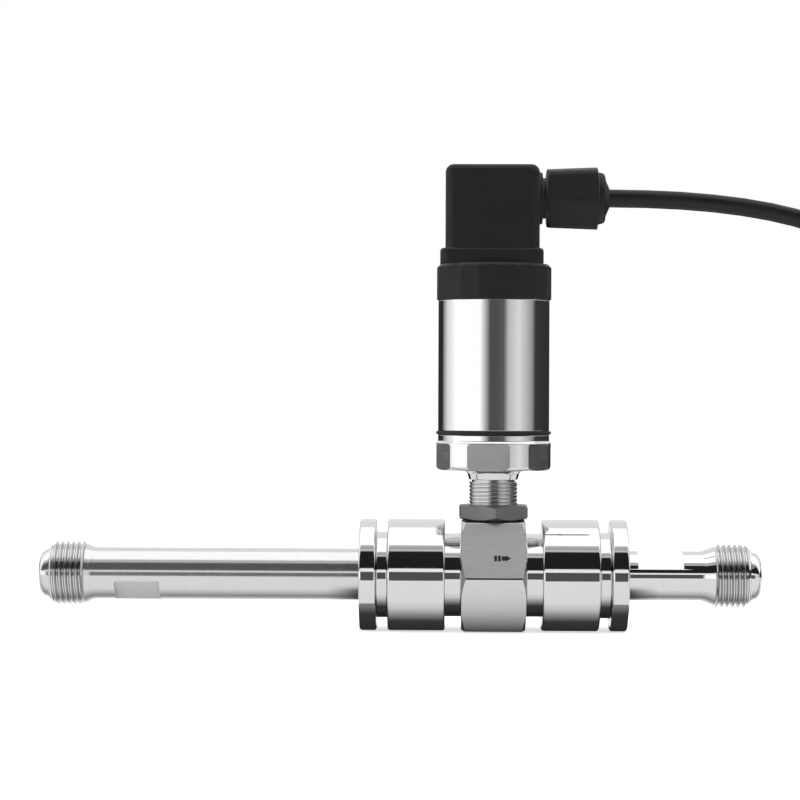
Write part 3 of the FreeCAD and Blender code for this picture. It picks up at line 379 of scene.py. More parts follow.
def threadRod(name, thread, start, end, axis="X", centre=(0, 0, 0), chamfers=(True, True)):
    # A solid rod with a right-hand thread cut as a real helix, and its ends chamfered.
    pitch, crest, root = thread["pitch"], thread["major"] / 2, thread["minor"] / 2
    crestHalf, rootHalf = thread["crestShare"] / 2, threadShape["rootHalf"]
    shares = [(0, root), (rootHalf, root), (0.5 - crestHalf, crest), (0.5 + crestHalf, crest),
              (1 - rootHalf, root), (1, root)]
    first = start - 1.5 * pitch
    if axis == "X":
        points = [Vector((first + share * pitch, 0, out)) for share, out in shares]
    else:
        points = [Vector((out, 0, first + share * pitch)) for share, out in shares]
    piece = startPoint(name, points[0])
    extrudeChain(points)
    for i in (2, 3):
        roundCorner(piece, points[i - 1], points[i], points[i + 1],
                    threadShape["crestRounding"] * pitch, 2)
    bpy.ops.object.mode_set(mode="OBJECT")
    modifier = piece.modifiers.new("helix", "SCREW")
    modifier.axis = axis
    modifier.angle = 2 * math.pi
    modifier.screw_offset = pitch
    modifier.iterations = math.ceil((end - start) / pitch) + 2
    modifier.steps = modifier.render_steps = thread["steps"]
    bpy.ops.object.modifier_apply(modifier=modifier.name)
    bpy.ops.object.mode_set(mode="EDIT")
    bpy.ops.mesh.select_all(action="SELECT")
    bpy.ops.mesh.remove_doubles(threshold=samePlace)
    normal = Vector((1, 0, 0)) if axis == "X" else Vector((0, 0, 1))
    for place, upper in ((start, False), (end, True)):
        bpy.ops.mesh.select_all(action="SELECT")
        bpy.ops.mesh.bisect(plane_co=normal * place, plane_no=normal, use_fill=True,
                            clear_outer=upper, clear_inner=not upper)
    bpy.ops.mesh.select_all(action="SELECT")
    bpy.ops.mesh.normals_make_consistent(inside=False)
    bpy.ops.object.mode_set(mode="OBJECT")
    piece.data.transform(Matrix.Translation(Vector(centre)))
    cut = [crest - root if chamfer else threadShape["plainEnd"] for chamfer in chamfers]
    out, slope = crest + threadShape["tipRoom"], threadShape["chamferSlope"]
    envelope = turned(name + "Envelope", [
        (start, 0), (start, out - cut[0]), (start + cut[0] * slope, out), (end - cut[1] * slope, out),
        (end, out - cut[1]), (end, 0)], axis, centre, thread["steps"])
    return combine(piece, envelope, "INTERSECT")


def finishPiece(piece, body, material, nodes, smoothAngle=32, painted=()):
    # Shades a piece, brings it to metres, gives it its body and finish, and hides the CAD nodes that it
    # stands for. Painted holds pairs of a second material and the test for the faces that have it.
    makeActive(piece)
    bpy.ops.object.shade_smooth_by_angle(angle=math.radians(smoothAngle))
    piece.data.materials.clear()
    piece.data.materials.append(material)
    for face in piece.data.polygons:
        face.material_index = 0
    for i, (other, test) in enumerate(painted):
        piece.data.materials.append(other)
        for face in piece.data.polygons:
            if test(face):
                face.material_index = i + 1
    modifier = piece.modifiers.new("normals", "WEIGHTED_NORMAL")  # flat faces shade flat to the edge
    modifier.keep_sharp = True
    bpy.ops.object.modifier_apply(modifier=modifier.name)
    piece.data.transform(Matrix.Scale(mm, 4))
    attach(piece, body)
    if nodes:
        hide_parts(*nodes)
    piece.visible_glossy = body in ("meter", "rotor", "head", "lock_nut")  # steel doesn't show the plug
    return piece


# Camera. It stands a little left of the head, looks slightly to the left and leans by a fifth of
# a degree.
camera = {"distance": 765.1, "height": 58.06, "fromHead": -14.93, "turn": 1.215, "roll": 0.212,
          "focalPixels": 2297.5}
imageSize = 800
cameraData = bpy.data.cameras.new("camera")
cameraData.sensor_width = 36
cameraData.lens = camera["focalPixels"] / imageSize * cameraData.sensor_width
cameraData.clip_start = 0.01
cameraObject = bpy.data.objects.new("camera", cameraData)
bpy.context.scene.collection.objects.link(cameraObject)
cameraObject.location = Vector((headX + camera["fromHead"], -camera["distance"], camera["height"])) * mm
cameraObject.rotation_euler = [math.radians(turn) for turn in (90, -camera["roll"], camera["turn"])]
bpy.context.scene.camera = cameraObject

# Studio. Metal sees a white sheet overhead, a black screen with one slit above the camera, a white
# panel on the left, a dimmer one on the right, and a pale table with a painted shadow under the meter. All
# else gets even light.
bpy.context.scene.view_settings.view_transform = "Standard"
studio = {
    "evenLight": 0.62,
    "tableLift": 0.62,  # makes the table as white as the wall, for the camera alone
    # The table as metal sees it, by millimetres to the front or back of the pipe axis. Its shade is a
    # painted shadow of the meter: dark under the couplings, and lighter under the pipe.
    "nearTable": {"length": 700, "depth": 272, "lift": 0.02},
    "underCouplings": [(0, 0.015), (10.5, 0.05), (14.4, 0.33), (18.6, 0.72), (25, 0.93), (184, 0.97)],
    "underPipe": [(0, 0.25), (7, 0.66), (13, 0.93), (184, 0.97)],
    "couplingsReach": (45, 56),
    # degrees from the viewer up over the object and on behind it, with a brightness. The stops darken from
    # straight down on to behind: a painted shadow of the table under the meter.
    "upright": [(-180, 0.012), (-118, 0.018), (-100, 0.07), (-84, 0.33), (-68, 0.72), (-52, 0.93),
                (-9, 0.97), (-7.5, 0.03), (9, 0.03), (9.6, 1.1), (15.6, 1.1), (16.4, 0.016), (52, 0.018),
                (53.5, 0.70), (57, 0.66), (57.8, 0.42), (66, 0.60), (67.5, 1.4), (117.5, 1.4), (119, 0.92),
                (180, 0.95)],
    # degrees from the viewer round to the right, with a brightness
    "around": [(-180, 0.9), (-172, 0.9), (-168, 0.03), (-133, 0.03), (-129, 0.22), (-112, 0.92),
               (-100, 1.12), (-86, 1.4), (-30, 1.4), (-20, 0.70), (-9, 0.10), (6, 0.10), (20, 0.14),
               (30, 0.68), (52, 0.95), (84, 0.40), (94, 0.05), (168, 0.03), (172, 0.9), (180, 0.9)],
    # rays that rise or fall by less than this see the second row, and the others see the first
    "levelBand": (0.14, 0.17), "levelMiddle": -0.03,
    "tableColour": "F2F2F2", "tableSize": 6000,
}


def levelRamp(tree, source, stops, unit):  # a brightness that follows a value through the stops
    first, last = stops[0][0], stops[-1][0]
    share = addNode(tree, "ShaderNodeMapRange", inputs={"From Min": first * unit, "From Max": last * unit},
                    links={"Value": source})
    ramp = addNode(tree, "ShaderNodeValToRGB", links={"Fac": share.outputs[0]})
    elements = ramp.color_ramp.elements
    elements.remove(elements[1])  # a new ramp has two stops
    for i, (place, value) in enumerate(stops):
        position = (place - first) / (last - first)
        element = elements.new(position) if i else elements[0]
        element.position = position
        element.color = (value, value, value, 1)
    return ramp.outputs["Color"]


def makeWorld():
    world = bpy.data.worlds.new("studio")
    bpy.context.scene.world = world
    world.use_nodes = True
    tree = world.node_tree
    tree.nodes.clear()
    direction = addNode(tree, "ShaderNodeTexCoord")
    split = addNode(tree, "ShaderNodeSeparateXYZ", links={0: direction.outputs["Generated"]})
    across, rise = split.outputs["X"], split.outputs["Z"]
    towards = addNode(tree, "ShaderNodeMath", {"operation": "MULTIPLY"}, inputs={1: -1},
                      links={0: split.outputs["Y"]}).outputs[0]
    upAngle, aroundAngle = [addNode(tree, "ShaderNodeMath", {"operation": "ARCTAN2"},
                                    links={0: part, 1: towards}).outputs[0] for part in (rise, across)]
    upright = levelRamp(tree, upAngle, studio["upright"], math.radians(1))
    around = levelRamp(tree, aroundAngle, studio["around"], math.radians(1))
    fromMiddle = addNode(tree, "ShaderNodeMath", {"operation": "SUBTRACT"},
                         inputs={1: studio["levelMiddle"]}, links={0: rise})
    offLevel = addNode(tree, "ShaderNodeMath", {"operation": "ABSOLUTE"}, links={0: fromMiddle.outputs[0]})
    low, high = studio["levelBand"]
    upper = addNode(tree, "ShaderNodeMapRange", inputs={"From Min": low, "From Max": high},
                    links={"Value": offLevel.outputs[0]})
    bands = addNode(tree, "ShaderNodeMix", {"data_type": "RGBA"},
                    links={0: upper.outputs[0], 6: around, 7: upright})
    ray = addNode(tree, "ShaderNodeLightPath")
    even = studio["evenLight"]
    lit = addNode(tree, "ShaderNodeMix", {"data_type": "RGBA"}, inputs={6: (even, even, even, 1)},
                  links={0: ray.outputs["Is Glossy Ray"], 7: bands.outputs[2]})
    seen = addNode(tree, "ShaderNodeMix", {"data_type": "RGBA"}, inputs={7: (1, 1, 1, 1)},
                   links={0: ray.outputs["Is Camera Ray"], 6: lit.outputs[2]})
    background = addNode(tree, "ShaderNodeBackground", links={"Color": seen.outputs[2]})
    addNode(tree, "ShaderNodeOutputWorld", links={"Surface": background.outputs[0]})


def studioPlane(name, length, depth, height, material):  # a level plane about the head's axis
    bpy.ops.object.select_all(action="DESELECT")
    bpy.ops.mesh.primitive_plane_add(size=1, location=(headX * mm, 0, height * mm))
    plane = bpy.context.object
    plane.name = name
    plane.data.transform(Matrix.Diagonal((length * mm, depth * mm, 1, 1)))
    plane.data.materials.append(material)
    return plane


def makeFloor():
    material, tree, shader = newMaterial("white studio table")
    shader.inputs["Base Color"].default_value = hexColour(studio["tableColour"])
    shader.inputs["Roughness"].default_value = 0.9
    shader.inputs["Emission Color"].default_value = (1, 1, 1, 1)
    ray = addNode(tree, "ShaderNodeLightPath")
    lift = addNode(tree, "ShaderNodeMath", {"operation": "MULTIPLY"}, inputs={1: studio["tableLift"]},
                   links={0: ray.outputs["Is Camera Ray"]})
    tree.links.new(lift.outputs[0], shader.inputs["Emission Strength"])
    floor = studioPlane("studio_floor", studio["tableSize"], studio["tableSize"], floorZ, material)
    floor.visible_glossy = False  # metal sees the near part of the table, and the studio past it


def makeNearTable():
    near = studio["nearTable"]
    # The table's emission is a painted shadow: dark under the meter and bright away from it, seen only in
    # reflections.
    material, tree, shader = newMaterial("table under the meter with painted shadow")
    shader.inputs["Base Color"].default_value = (0, 0, 0, 1)
    shader.inputs["Roughness"].default_value = 1
    shader.inputs["Specular IOR Level"].default_value = 0
    shader.inputs["Emission Strength"].default_value = 1
    place = addNode(tree, "ShaderNodeTexCoord")
    split = addNode(tree, "ShaderNodeSeparateXYZ", links={0: place.outputs["Object"]})
    beside, before = [addNode(tree, "ShaderNodeMath", {"operation": "ABSOLUTE"},
                              links={0: split.outputs[axis]}).outputs[0] for axis in "XY"]
    shades = [levelRamp(tree, before, studio[key], mm) for key in ("underCouplings", "underPipe")]
    low, high = studio["couplingsReach"]
    beyond = addNode(tree, "ShaderNodeMapRange", inputs={"From Min": low * mm, "From Max": high * mm},
                     links={"Value": beside})
    shade = addNode(tree, "ShaderNodeMix", {"data_type": "RGBA"},
                    links={0: beyond.outputs[0], 6: shades[0], 7: shades[1]})
    tree.links.new(shade.outputs[2], shader.inputs["Emission Color"])
    nearTable = studioPlane("near_table", near["length"], near["depth"], floorZ + near["lift"], material)
    nearTable.visible_camera = nearTable.visible_diffuse = nearTable.visible_shadow = False


lamps = {
    "over": {"place": (-80, -160, 700), "size": 900, "power": 3.2},
    "left": {"place": (-620, -420, 260), "size": 500, "power": 2.2},
    "right": {"place": (560, -420, 220), "size": 380, "power": 1.0},
}
lampTarget = Vector((headX, 0, 40))


def makeLamps():
    for name, lamp in lamps.items():
        data = bpy.data.lights.new(name, "AREA")
        data.size = lamp["size"] * mm
        data.energy = lamp["power"]
        lampObject = bpy.data.objects.new(name, data)
        bpy.context.scene.collection.objects.link(lampObject)
        lampObject.location = (Vector(lamp["place"]) + Vector(headAxis)) * mm
        aim = lampTarget * mm - lampObject.location
        lampObject.rotation_euler = aim.to_track_quat("-Z", "Y").to_euler()
        lampObject.visible_glossy = False


makeWorld()
makeFloor()
makeNearTable()
makeLamps()
print("camera and studio made")

# Pipe runs. Each is a tube with a relief, a G 1/2 thread and a rounded nose, turned from one bar.
pipeThread = {"major": 20.955, "minor": 18.63, "pitch": 1.814, "crestShare": 0.166, "steps": 96,
              "length": 12.0}
pipeSizes = {
    "inlet": {"way": -1, "finish": drawnSteel, "flatFinish": blastedSteel, "diameter": 17.2, "relief": 2.5,
              "flatFromThread": 9.9, "flatTurn": 50},
    "outlet": {"way": 1, "finish": polishedSteel, "flatFinish": polishedSteel, "diameter": 16.4,
               "relief": 4.0, "flatFromThread": 10.3, "flatTurn": -50},
}
pipeShared = {"start": 29.82, "spigotBore": 8.6, "bore": 4.0, "boreTaper": 8.0, "boreEdge": 0.3,
              "noseDiameter": 16.0, "noseLength": 3.5, "noseRounding": 2.8, "reliefDiameter": 19.5,
              "reliefRounding": 5.0, "coreStart": 0.4, "coreUnderRoot": 0.3, "flatAcross": 14.0,
              "flatLength": 15.0, "leadStart": 0.6, "leadChamfer": 1.6, "leadSlope": 1.2,
              # faces from here on and outside this radius have the thread's finish, and faces larger
              # than this area have that of the flats
              "finishStart": 0.3, "finishRadius": 9.2, "flatArea": 60}


def besideHead(way, corners):  # a profile's corners, measured from the head to the left or right
    return [(headX + way * x, *rest) for x, *rest in corners]


def stretch(way, near, far):  # two distances from the head as places from left to right
    return sorted((headX + way * near, headX + way * far))


def flatCutters(name, start, end, across, turn, out=40):  # two blocks that leave spanner flats
    return [box(name, (start, -out, -out), (end, -across / 2, out), turn + side) for side in (0, 180)]


def makePipe(side):
    size, shared = pipeSizes[side], pipeShared
    way = size["way"]
    noseEnd = way * (span(side + "_pipe")[0 if way < 0 else 1] - headX)
    threadEnd = noseEnd - shared["noseLength"]
    threadStart = threadEnd - pipeThread["length"]
    pipeRadius, nose, bore = size["diameter"] / 2, shared["noseDiameter"] / 2, shared["bore"] / 2
    relief, crest = shared["reliefDiameter"] / 2, pipeThread["major"] / 2
    core = pipeThread["minor"] / 2 - shared["coreUnderRoot"]
    pipe = turned(side + "_pipe_run", besideHead(way, [
        (shared["start"], shared["spigotBore"] / 2), (shared["start"], pipeRadius),
        (threadStart - size["relief"], pipeRadius, shared["reliefRounding"]), (threadStart, relief),
        (threadStart + shared["coreStart"], core), (threadEnd, core), (threadEnd, nose),
        (noseEnd, nose, shared["noseRounding"]), (noseEnd, bore, shared["boreEdge"]),
        (shared["start"] + shared["boreTaper"], bore)]), steps=160)
    thread = threadRod(side + "_thread", pipeThread, *stretch(way, threadStart, threadEnd))
    lead = shared["leadChamfer"]
    collar = turned(side + "_lead", besideHead(way, [
        (threadStart, shared["bore"]), (threadStart, relief), (threadStart + shared["leadStart"], crest),
        (threadEnd - lead, crest), (threadEnd, crest - shared["leadSlope"] * lead),
        (threadEnd, shared["bore"])]), steps=160)
    thread = combine(thread, collar, "INTERSECT")
    pipe = combine(pipe, thread, "UNION")
    flatEnd = threadStart - size["flatFromThread"]
    low, high = stretch(way, flatEnd, flatEnd - shared["flatLength"])
    for tool in flatCutters(side + "_flat", low, high, shared["flatAcross"], size["flatTurn"]):
        pipe = combine(pipe, tool, "DIFFERENCE")
    threadLow, threadHigh = stretch(way, threadStart + shared["finishStart"], threadEnd - lead)

    def onThread(face):
        out = math.hypot(face.center.y, face.center.z)
        return threadLow < face.center.x < threadHigh and out > shared["finishRadius"]

    def onFlat(face):
        between = low + tolerance < face.center.x < high - tolerance
        return between and face.area > shared["flatArea"]

    finishPiece(pipe, "meter", size["finish"], [side + "_pipe"],
                painted=[(threadSteel, onThread), (size["flatFinish"], onFlat)])


for side in pipeSizes:
    makePipe(side)
    print(side, "pipe made")

# Couplings: a wide ring against the body, a groove, and a disc with two spanner flats.
couplingSize = {"ring": 18.9, "groove": 3.7, "grooveDiameter": 28.5, "grooveRounding": 0.5, "edge": 0.8,
                "spanner": 34.0, "flatTurn": 50.0, "shoulder": 29.9, "spigot": 24.04, "pipeGap": 0.02}


def makeCoupling(side):
    size, way = couplingSize, pipeSizes[side]["way"]
    shape = span(side + "_coupling")
    radius = shape[5]
    start, end = sorted((way * (shape[0] - headX), way * (shape[1] - headX)))
    ringEnd = start + size["ring"]
    grooveEnd = ringEnd + size["groove"]
    edge, soft, groove = size["edge"], size["grooveRounding"], size["grooveDiameter"] / 2
    spigot, bore = size["spigot"] / 2, pipeSizes[side]["diameter"] / 2 + size["pipeGap"]
    ring = turned(side + "_coupling_ring", besideHead(way, [
        (start, spigot), (start, radius, edge), (ringEnd, radius, edge), (ringEnd, groove, soft),
        (grooveEnd, groove, soft), (grooveEnd, radius, edge), (end, radius, edge), (end, bore),
        (size["shoulder"], bore), (size["shoulder"], spigot)]), steps=192)
    low, high = stretch(way, grooveEnd - past, end + past)
    for tool in flatCutters(side + "_disc_flat", low, high, size["spanner"], size["flatTurn"]):
        ring = combine(ring, tool, "DIFFERENCE")
    finishPiece(ring, "meter", polishedSteel, [side + "_coupling"])


for side in pipeSizes:
    makeCoupling(side)
print("couplings made")

# Meter body: a ground hexagon between two polished necks, with the seat of the pickup on top.
bodySize = {"across": 36.0, "length": 21.2, "land": 0.3, "edge": 0.55, "chamferAngle": 30, "neck": 27.7,
            "neckFillet": 0.6, "footHeight": 1.2, "spigot": 24.0, "bore": 7.8, "pocket": 16.1,
            "pocketFloor": 6.7, "cornerDepth": 1.5, "cornerArea": 20, "endLean": 0.3, "footFaces": 0.5}


def makeBody():
    size = bodySize
    half, flat = size["length"] / 2, size["across"] / 2
    corner = cornerRadius(size["across"], 6) + size["land"]
    inset = (corner - flat - size["land"]) * math.tan(math.radians(size["chamferAngle"]))
    hexagon = prism("meter_hexagon", 6, size["across"], headX - half, headX + half)
    roundEdges(hexagon, lambda edge: runsAlong("X", edge), size["edge"], 3)
    outline = chamferedEnds(headX - half, headX + half, flat + size["land"], corner, inset)
    hexagon = combine(hexagon, turned("hexEnvelope", outline, steps=160), "INTERSECT")
    neck, spigot, bore = size["neck"] / 2, size["spigot"] / 2, size["bore"] / 2
    foot, fillet = neck + size["footHeight"], size["neckFillet"]
    neckEnd = span("outlet_coupling")[0] - headX
    end = span("meter_body")[1] - headX
    core = turned("neckCore", besideHead(1, [
        (-end, bore), (-end, spigot), (-neckEnd, spigot), (-neckEnd, neck), (-half, neck, fillet),
        (-half, foot), (half, foot), (half, neck, fillet), (neckEnd, neck), (neckEnd, spigot),
        (end, spigot), (end, bore)]), steps=160)
    hexagon = combine(hexagon, core, "UNION")
    boreTool = rod("boreTool", bore, headX - end - past, headX + end + past, steps=64)
    hexagon = combine(hexagon, boreTool, "DIFFERENCE")
    pocket = rod("pocketTool", size["pocket"] / 2, size["pocketFloor"], flat + past, "Z", headAxis)
    hexagon = combine(hexagon, pocket, "DIFFERENCE")

    def isPolished(face):  # the rounded corners, and the ends close round the necks
        out = math.hypot(face.center.y, face.center.z)
        isEnd = abs(face.center.x - headX) > half - tolerance / 2
        isCorner = out > corner - size["cornerDepth"] and face.area < size["cornerArea"]
        leans = abs(face.normal.x) > size["endLean"]  # as the chamfers at the ends do
        return (isEnd and out < neck + size["footFaces"]) or (isCorner and not leans)

    finishPiece(hexagon, "meter", groundSteel, ["meter_body"],
                painted=[(polishedSteel, isPolished)], smoothAngle=12)


makeBody()
print("meter body made")

# Flow arrow, marked on the upper front face of the hexagon.
arrowSize = {"fromHead": 2.8, "height": 6.6, "depth": 0.02, "bars": 2, "barWidth": 0.9, "barGap": 0.3,
             "barHeight": 2.1, "shaftLength": 1.4, "shaftHeight": 1.6, "headLength": 1.6,
             "headHeight": 2.2}


def extrudedOutline(name, outlinePoints, depth):  # a flat plate in the XY plane from its outline
    plate = startPoint(name, Vector((*outlinePoints[0], 0)))
    extrudeChain([Vector((*point, 0)) for point in outlinePoints])
    bpy.ops.mesh.select_all(action="SELECT")
    bpy.ops.mesh.edge_face_add()
    bpy.ops.mesh.extrude_region_move(TRANSFORM_OT_translate={"value": (0, 0, depth)})
    bpy.ops.mesh.select_all(action="SELECT")
    bpy.ops.mesh.normals_make_consistent(inside=False)
    bpy.ops.object.mode_set(mode="OBJECT")
    return plate


def makeArrow():
    size = arrowSize
    bar, tall = size["barWidth"], size["barHeight"] / 2
    bars = []
    x = 0
    for i in range(size["bars"]):
        corners = [(x, -tall), (x + bar, -tall), (x + bar, tall), (x, tall)]
        bars.append(extrudedOutline("arrowBar", corners, size["depth"]))
        x += bar + size["barGap"]
    shaft, head = size["shaftHeight"] / 2, size["headHeight"] / 2
    neckX, tipX = x + size["shaftLength"], x + size["shaftLength"] + size["headLength"]
    arrow = extrudedOutline("flow_arrow", [(x, -shaft), (neckX, -shaft), (neckX, -head), (tipX, 0),
                                           (neckX, head), (neckX, shaft), (x, shaft)], size["depth"])
    makeActive(arrow)
    for part in bars:
        part.select_set(True)
    bpy.ops.object.join()
    # The mark is laid on the face that leans back, with its middle at the given height.
    flat, lean = bodySize["across"] / 2, math.radians(30)
    arrow.data.transform(Matrix.Translation((-tipX / 2, 0, 0)))
    arrow.data.transform(Matrix.Rotation(math.pi / 2 - lean, 4, "X"))
    along = (size["height"] - flat * math.sin(lean)) / math.cos(lean)
    middle = Vector((0, -math.cos(lean), math.sin(lean))) * flat
    middle += Vector((0, math.sin(lean), math.cos(lean))) * along
    arrow.data.transform(Matrix.Translation(middle + Vector((headX + size["fromHead"], 0, 0))))
    finishPiece(arrow, "meter", markBlack, [])


makeArrow()
print("flow arrow made")

# Pickup: a threaded barrel, its lock nut, and the base that carries the housing.
barrelThread = {"major": 16.0, "minor": 15.5, "pitch": 1.25, "crestShare": 0.5, "steps": 80}
barrelSize = {"core": 14.4, "foot": 1.2, "rounding": 0.5, "spigot": 13.96, "bore": 10.0, "floor": 1.0,
              "threadStart": 0.6, "threadEnd": 0.7}
nutSize = {"across": 22.0, "turn": 3.0, "land": 0.1, "chamferAngle": 30, "bore": 16.1, "edge": 0.2}
# The part of the base with the flats is a little wider than the sleeve.
baseSize = {"bore": 14.04, "neck": 16.2, "neckRounding": 0.3, "flare": 17.4, "flareHeight": 0.9,
            "flareRounding": 1.2, "cone": 3.2, "underside": 19.8, "spannerPart": 0.55, "rounding": 1.4,
            "flatHeight": 8.9, "flatDepths": (1.3, 0.86, 0.86), "flatTurn": -6.6, "flatCount": 6,
            "flatCorner": 1.2, "flatMargin": 0.05, "flatArea": 20, "toolOut": 30, "stepStart": 0.1,
            "stepEnd": 0.8, "stepRounding": 0.4, "topRounding": 0.35, "sealGap": 0.02, "cavity": 28.0,
            "cavityFloor": 12.3}
sleeveSize = {"wall": 1.5, "edge": 0.3, "spigotInset": 1.55, "sealInset": 1.53, "sealRoundness": 0.9}
sleeveRadius = sleeveSpan[1] - headX


def makeBarrel():
    size = barrelSize
    shape = span("pickup_barrel")
    bottom, top = shape[4], shape[5]
    shoulder = span("housing_base")[4]
    floorTop = bottom + size["floor"]
    core, spigot, bore = size["core"] / 2, size["spigot"] / 2, size["bore"] / 2
    barrel = turned("pickup_thread", [
        (bottom, 0), (bottom, core, size["rounding"]), (bottom + size["foot"], core), (shoulder, core),
        (shoulder, spigot), (top, spigot), (top, bore), (floorTop, bore), (floorTop, 0)],
        "Z", headAxis, steps=96)
    thread = threadRod("barrelThread", barrelThread, bottom + size["threadStart"],
                       shoulder - size["threadEnd"], "Z", headAxis, (True, False))
    hollow = rod("barrelHollow", bore, floorTop, top + past, "Z", headAxis)
    thread = combine(thread, hollow, "DIFFERENCE")
    barrel = combine(barrel, thread, "UNION")
    finishPiece(barrel, "head", rolledSteel, ["pickup_barrel"])


def makeNut():
    size = nutSize
    shape = span("lock_nut")
    low, high = shape[4], shape[5]
    flat = size["across"] / 2
    corner = cornerRadius(size["across"], 6) + size["land"]
    inset = (corner - flat - size["land"]) * math.tan(math.radians(size["chamferAngle"]))
    nut = prism("lock_nut_hexagon", 6, size["across"], low, high, "Z", headAxis, size["turn"])
    envelope = turned("nutEnvelope", chamferedEnds(low, high, flat, corner, inset), "Z", headAxis,
                      steps=120)
    nut = combine(nut, envelope, "INTERSECT")
    softenEdges(nut, size["edge"])
    bore = rod("nutBore", size["bore"] / 2, low - past, high + past, "Z", headAxis)
    nut = combine(nut, bore, "DIFFERENCE")
    finishPiece(nut, "lock_nut", satinSteel, ["lock_nut"])


def makeBase():
    size = baseSize
    shoulder, spigotTop = span("housing_base")[4:]
    bottom = shoulder + size["cone"]
    flatTop = bottom + size["flatHeight"]
    top = span("housing_o_ring")[4] - size["sealGap"]
    cavityFloor = shoulder + size["cavityFloor"]
    spigot = sleeveRadius - sleeveSize["spigotInset"]
    wide = sleeveRadius + size["spannerPart"]
    bore, cavity, soft = size["bore"] / 2, size["cavity"] / 2, size["stepRounding"]
    base = turned("pickup_base", [
        (shoulder, bore), (shoulder, size["neck"] / 2, size["neckRounding"]),
        (bottom - size["flareHeight"], size["flare"] / 2, size["flareRounding"]),
        (bottom, size["underside"] / 2), (bottom, wide, size["rounding"]),
        (flatTop + size["stepStart"], wide, soft), (flatTop + size["stepEnd"], sleeveRadius, soft),
        (top, sleeveRadius, size["topRounding"]), (top, spigot), (spigotTop, spigot, soft),
        (spigotTop, cavity), (cavityFloor, cavity), (cavityFloor, bore)], "Z", headAxis, steps=192)
    flatReaches = [wide - depth for depth in size["flatDepths"]]  # the front and back ones are deepest
    middle = Matrix.Translation(headAxis)
    for i in range(size["flatCount"]):
        flat = flatReaches[i % len(flatReaches)]
        half = math.sqrt(wide ** 2 - flat ** 2) + size["flatMargin"]
        tool = box("baseFlat", (headX - half, -size["toolOut"], bottom - 2 * past),
                   (headX + half, -flat, flatTop))
        roundEdges(tool, lambda edge: isOver(edge, flatTop) and runsAlong("Y", edge),
                   size["flatCorner"], 8)
        turn = Matrix.Rotation(math.radians(size["flatTurn"] + 60 * i), 4, "Z")
        tool.data.transform(middle @ turn @ middle.inverted())
        base = combine(base, tool, "DIFFERENCE")

    def onFlat(face):
        normal = face.normal
        out = (face.center.x - headX) * normal.x + face.center.y * normal.y
        near = min(abs(out - flat) for flat in flatReaches) < tolerance
        return near and abs(normal.z) < tolerance and face.area > size["flatArea"]

    finishPiece(base, "head", wheelSteel, ["housing_base"],
                painted=[(milledSteel, onFlat)])


makeBarrel()
makeNut()
makeBase()
print("pickup made")

# Housing: an O-ring, the sleeve, and a plastic collar with eighteen sides.
collarSize = {"across": 37.6, "sides": 18, "turn": 4.0, "chamfer": 1.1, "edge": 0.25, "edgeAngle": 12,
              "bore": 28.04, "spigotHeight": 6.4}


def makeHousingSeal():
    shape = span("housing_o_ring")
    low, high, out = shape[4], shape[5], shape[1] - headX
    inside = sleeveRadius - sleeveSize["sealInset"]
    rounding = sleeveSize["sealRoundness"] * ((high - low) / 2)
    ring = turned("housing_seal", [(low, inside), (low, out, rounding), (high, out, rounding),
                                   (high, inside)], "Z", headAxis, steps=160)
    finishPiece(ring, "head", blackRubber, ["housing_o_ring"])


def makeSleeve():
    bottom, top = sleeveSpan[4], sleeveSpan[5]
    inside, edge = sleeveRadius - sleeveSize["wall"], sleeveSize["edge"]
    sleeve = turned("housing_tube", [(bottom, inside), (bottom, sleeveRadius, edge),
                                     (top, sleeveRadius, edge), (top, inside)], "Z", headAxis, steps=192)
    finishPiece(sleeve, "head", wheelSteel, ["housing_sleeve"])


def makeCollar():
    size = collarSize
    bottom, top = sleeveSpan[5], span("connector_collar")[5]
    corner, chamfer = cornerRadius(size["across"], size["sides"]), size["chamfer"]
    collar = prism("housing_collar", size["sides"], size["across"], bottom, top, "Z", headAxis,
                   size["turn"])
    envelope = turned("collarEnvelope", [
        (bottom, 0), (bottom, corner - chamfer / 2), (bottom + chamfer / 2, corner),
        (top - chamfer, corner), (top, corner - chamfer), (top, 0)], "Z", headAxis, steps=160)
    collar = combine(collar, envelope, "INTERSECT")
    softenEdges(collar, size["edge"], size["edgeAngle"])
    lowest = bottom - size["spigotHeight"]
    spigot = rod("collarSpigot", sleeveRadius - sleeveSize["spigotInset"], lowest, bottom + past,
                 "Z", headAxis, 120)
    collar = combine(collar, spigot, "UNION")
    bore = rod("collarBore", size["bore"] / 2, lowest - past, top + past, "Z", headAxis, 120)
    collar = combine(collar, bore, "DIFFERENCE")
    finishPiece(collar, "head", blackNylon, ["connector_collar"], smoothAngle=25)


makeHousingSeal()
makeSleeve()
makeCollar()
print("housing made")

# Right-angle plug: a moulded box with a skirt, a gland neck and a sunk screw.
plugSize = {"left": 16.2, "right": 14.7, "width": 29.0, "rounding": 3.0, "topRounding": 2.7, "wall": 2.0,
            "cavityRounding": 2.0, "skirtLeft": 1.7, "skirtRight": 1.3, "skirtSide": 0.6,
            "skirtHeight": 4.9, "skirtRounding": 1.2, "boss": 17.3, "bossLength": 1.3, "bossEdge": 0.5,
            "neck": 13.5, "neckLength": 10.7, "neckBore": 10.4, "recess": 5.9, "recessDepth": 3.5,
            "shank": 3.2, "pillar": 10.0, "pillarHeight": 4.0}
glandSize = {"across": 20.0, "turn": 10.0, "taper": 0.03, "hexLength": 16.7, "domeStart": 17.4,
             "dome": 16.4, "domeRounding": 1.3, "mouth": 13.2, "neckClear": 13.7, "neckDepth": 9.5,
             "shoulder": 0.5, "shoulderRounding": 0.3, "startRounding": 1.9, "endRounding": 1.1,
             "edge": 1.6, "cornerTrim": 0.2}
glandSpan = span("gland_nut")
glandZ = (glandSpan[4] + glandSpan[5]) / 2
glandAxis = (0, 0, glandZ)


def isUpright(edge):
    first, last = edge.verts
    length = (first.co - last.co).length
    return abs(first.co.z - last.co.z) > 0.9 * length and length > 1


